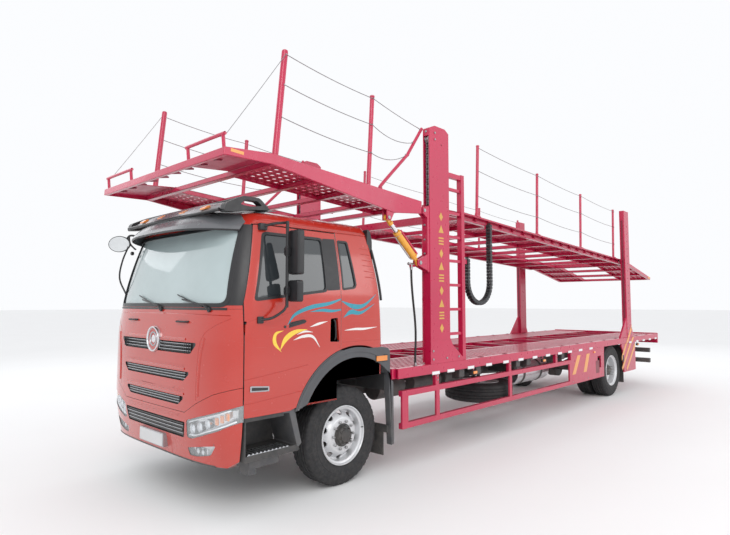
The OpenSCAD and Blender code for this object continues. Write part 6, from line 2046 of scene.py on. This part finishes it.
def chain_path():
    """Evenly spaced points and directions down the fixed leg, round the loop and up the moving leg"""
    down, up, arc = FIXED_LEG, MOVING_LEG, math.pi * LOOP_R
    total = down + arc + up
    count = round(total / LINK_PITCH)
    for k in range(count):
        s = (k + 0.5) * total / count
        if s < down:
            yield (LOOP_Y - LOOP_R, LOOP_Z + down - s), -math.pi / 2
        elif s < down + arc:
            t = (s - down) / LOOP_R
            yield (LOOP_Y - LOOP_R * math.cos(t), LOOP_Z - LOOP_R * math.sin(t)), t - math.pi / 2
        else:
            yield (LOOP_Y + LOOP_R, LOOP_Z + s - down - arc), math.pi / 2


links = Shape().use("black_plastic")
for (y, z), turn in chain_path():
    links.place = Matrix.Translation((CHAIN_X, y, z)) @ Matrix.Rotation(turn, 4, "X")
    for x in (-35, 28):
        links.prism("x", x, x + 7, [(-21, -28), (19, -28), (19, 28), (-21, 28)], bevel=2)
    links.box((-34, -11, 22), (34, 11, 30), 2)
    links.box((-34, -11, -30), (34, 11, -22), 2)
    links.use("dark_grey").disc((-37, -20, 0), 9, 3, "x", 12).disc((34, -20, 0), 9, 3, "x",
                                                                   12).use("black_plastic")
links.place = Matrix.Identity(4)
links.use("hose_rubber")
for dx, radius in ((-16, 9), (4, 7), (20, 6)):
    path = [(CHAIN_X + dx, LOOP_Y - LOOP_R, LOOP_Z + 330)] + [
        (CHAIN_X + dx, LOOP_Y - LOOP_R * math.cos(math.pi * k / 20),
         LOOP_Z - LOOP_R * math.sin(math.pi * k / 20))
        for k in range(21)] + [(CHAIN_X + dx, LOOP_Y + LOOP_R, LOOP_Z + 850)]
    links.tube(path, radius, 8)
chain = put("chain_links", None, "hose_rubber", links, replaces=("drag_chain",))
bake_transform(chain)


# ---------------------------------------------------------------- cabin

soften("dashboard", "root", "cabin_plastic", 8)
cabin = Shape().use("cabin_plastic")
cabin.box((330, -1030, 1700), (800, -1000, 1790), 12, 2)
cabin.use("cabin_light").box((-330, -985, 1480), (200, -930, 1660), 12, 2)
for x in (-1000, -700, -160, 240, 900):
    cabin.use("satin_black").box((x, -1010, 1660), (x + 110, -985, 1712), 6)
cabin.use("cabin_light").box((-1000, 380, 1200), (1000, 400, 2400), 12)
put("cabin_fittings", "root", "cabin_plastic", cabin)

WHEEL_CENTRE, COLUMN_TILT = (560, -780, 1780), -32
WHEEL_R, GRIP_R = 215, 16
wheel_turn = Matrix.Translation(WHEEL_CENTRE) @ Matrix.Rotation(math.radians(COLUMN_TILT), 4, "X")
steer = Shape(wheel_turn).use("satin_black")
steer.rings([[((WHEEL_R + GRIP_R * math.cos(a)) * math.cos(t),
               (WHEEL_R + GRIP_R * math.cos(a)) * math.sin(t), GRIP_R * math.sin(a))
              for a in (math.tau * m / 14 for m in range(14))]
             for t in (math.tau * k / 64 for k in range(64))], closed=True)
steer.lathe((0, 0, 0), [(0.01, -20), (60, -20), (64, -10), (60, 16), (40, 24), (0.01, 26)], 32, "z")
for angle in (90, 210, 330):
    t = math.radians(angle)
    steer.bar((50 * math.cos(t), 50 * math.sin(t), 2), (204 * math.cos(t), 204 * math.sin(t), 0), 17, 12)
steer.bar((0, 0, -300), (0, 0, -10), 30, 20)
put("steering_wheel_rim", "root", "black_plastic", steer, replaces=("steering_wheel",))


def cushion(low, high, lean=0.0):
    """Soft block with bulging faces"""
    (a, b, c), (d, e, f) = low, high
    n = 10
    rings = []
    for j in range(n + 1):
        v = j / n
        z = c + (f - c) * v
        pull = math.sin(math.pi * min(max(v, 0.02), 0.98)) ** 0.25
        hx, hy = (d - a) / 2 * (0.86 + 0.14 * pull), (e - b) / 2 * (0.72 + 0.28 * pull)
        rings.append([((a + d) / 2 + hx * math.copysign(abs(math.cos(t)) ** 0.35, math.cos(t)),
                       (b + e) / 2 + lean * (v - 0.5) + hy * math.copysign(abs(math.sin(t)) ** 0.35,
                                                                           math.sin(t)), z)
                      for t in (math.tau * k / 40 for k in range(40))])
    return rings


seats = Shape()
for x, half in ((560, 250), (-500, 420)):
    seats.use("cabin_plastic").box((x - half + 40, -500, 1150), (x + half - 40, -60, 1400), 16, 2)
    seats.use("seat_fabric").rings(cushion((x - half, -590, 1395), (x + half, 20, 1530)))
    seats.rings(cushion((x - half, -60, 1500), (x + half, 70, 2195), 40))
    seats.rings(cushion((x - 130, -45, 2215), (x + 130, 35, 2425), 20))
    seats.use("seat_side").rings(cushion((x - half + 60, -560, 1500), (x + half - 60, -60, 1545)))
    seats.use("chrome").bar((x - 60, -5, 2180), (x - 60, 0, 2240), 6, 8).bar((x + 60, -5, 2180),
                                                                             (x + 60, 0, 2240), 6, 8)
cushions = put("seat_cushions", "root", "seat_fabric", seats, replaces=("seats",), sharp=50)


# ---------------------------------------------------------------- CAD nodes that keep their shape

slots = {p["node"]: p["material_slot"] for p in frame["record"]["subparts"]}
for name, obj in frame["nodes"].items():
    obj.data.materials.clear()
    obj.data.materials.append(mats[slots[name]])
    obj.data.polygons.foreach_set("material_index", [0] * len(obj.data.polygons))


# ---------------------------------------------------------------- floor and light

floor = bpy.data.objects.new("floor", bpy.data.meshes.new("floor"))
floor.data.from_pydata([(-150, -150, 0), (150, -150, 0), (150, 150, 0), (-150, 150, 0)], [], [(0, 1, 2, 3)])
ground = Nodes("floor")
ground.feed(ground.shader, {"Base Color": ground.mix(ground.noise(0.4, 3), (0.86, 0.86, 0.86, 1),
                                                     (0.90, 0.90, 0.90, 1)),
                            "Roughness": 0.9})
floor.data.materials.append(ground.material)
scene.collection.objects.link(floor)

world = bpy.data.worlds.new("studio")
scene.world = world
world.use_nodes = True
world.node_tree.nodes["Background"].inputs[0].default_value = (0.97, 0.98, 1.0, 1)
world.node_tree.nodes["Background"].inputs[1].default_value = 1.0


def softbox(name, place, target, size, power, colour=(1, 1, 1)):
    light = bpy.data.objects.new(name, bpy.data.lights.new(name, "AREA"))
    light.data.shape, light.data.size, light.data.size_y = "RECTANGLE", size[0], size[1]
    light.data.energy, light.data.color = power, colour
    light.location = place
    light.rotation_euler = (Vector(target) - Vector(place)).to_track_quat("-Z", "Y").to_euler()
    scene.collection.objects.link(light)


softbox("key", (9, -13, 9), (0, -2, 1.5), (9, 6), 520, (1, 0.985, 0.96))
softbox("side", (13, 3, 6), (0, 1, 1.8), (12, 5), 300)
softbox("far side", (-12, -6, 8), (0, 0, 2), (9, 6), 160, (0.95, 0.97, 1))
softbox("rear", (-4, 14, 9), (0, 2, 2), (9, 6), 180)
scene.view_settings.view_transform = "Standard"
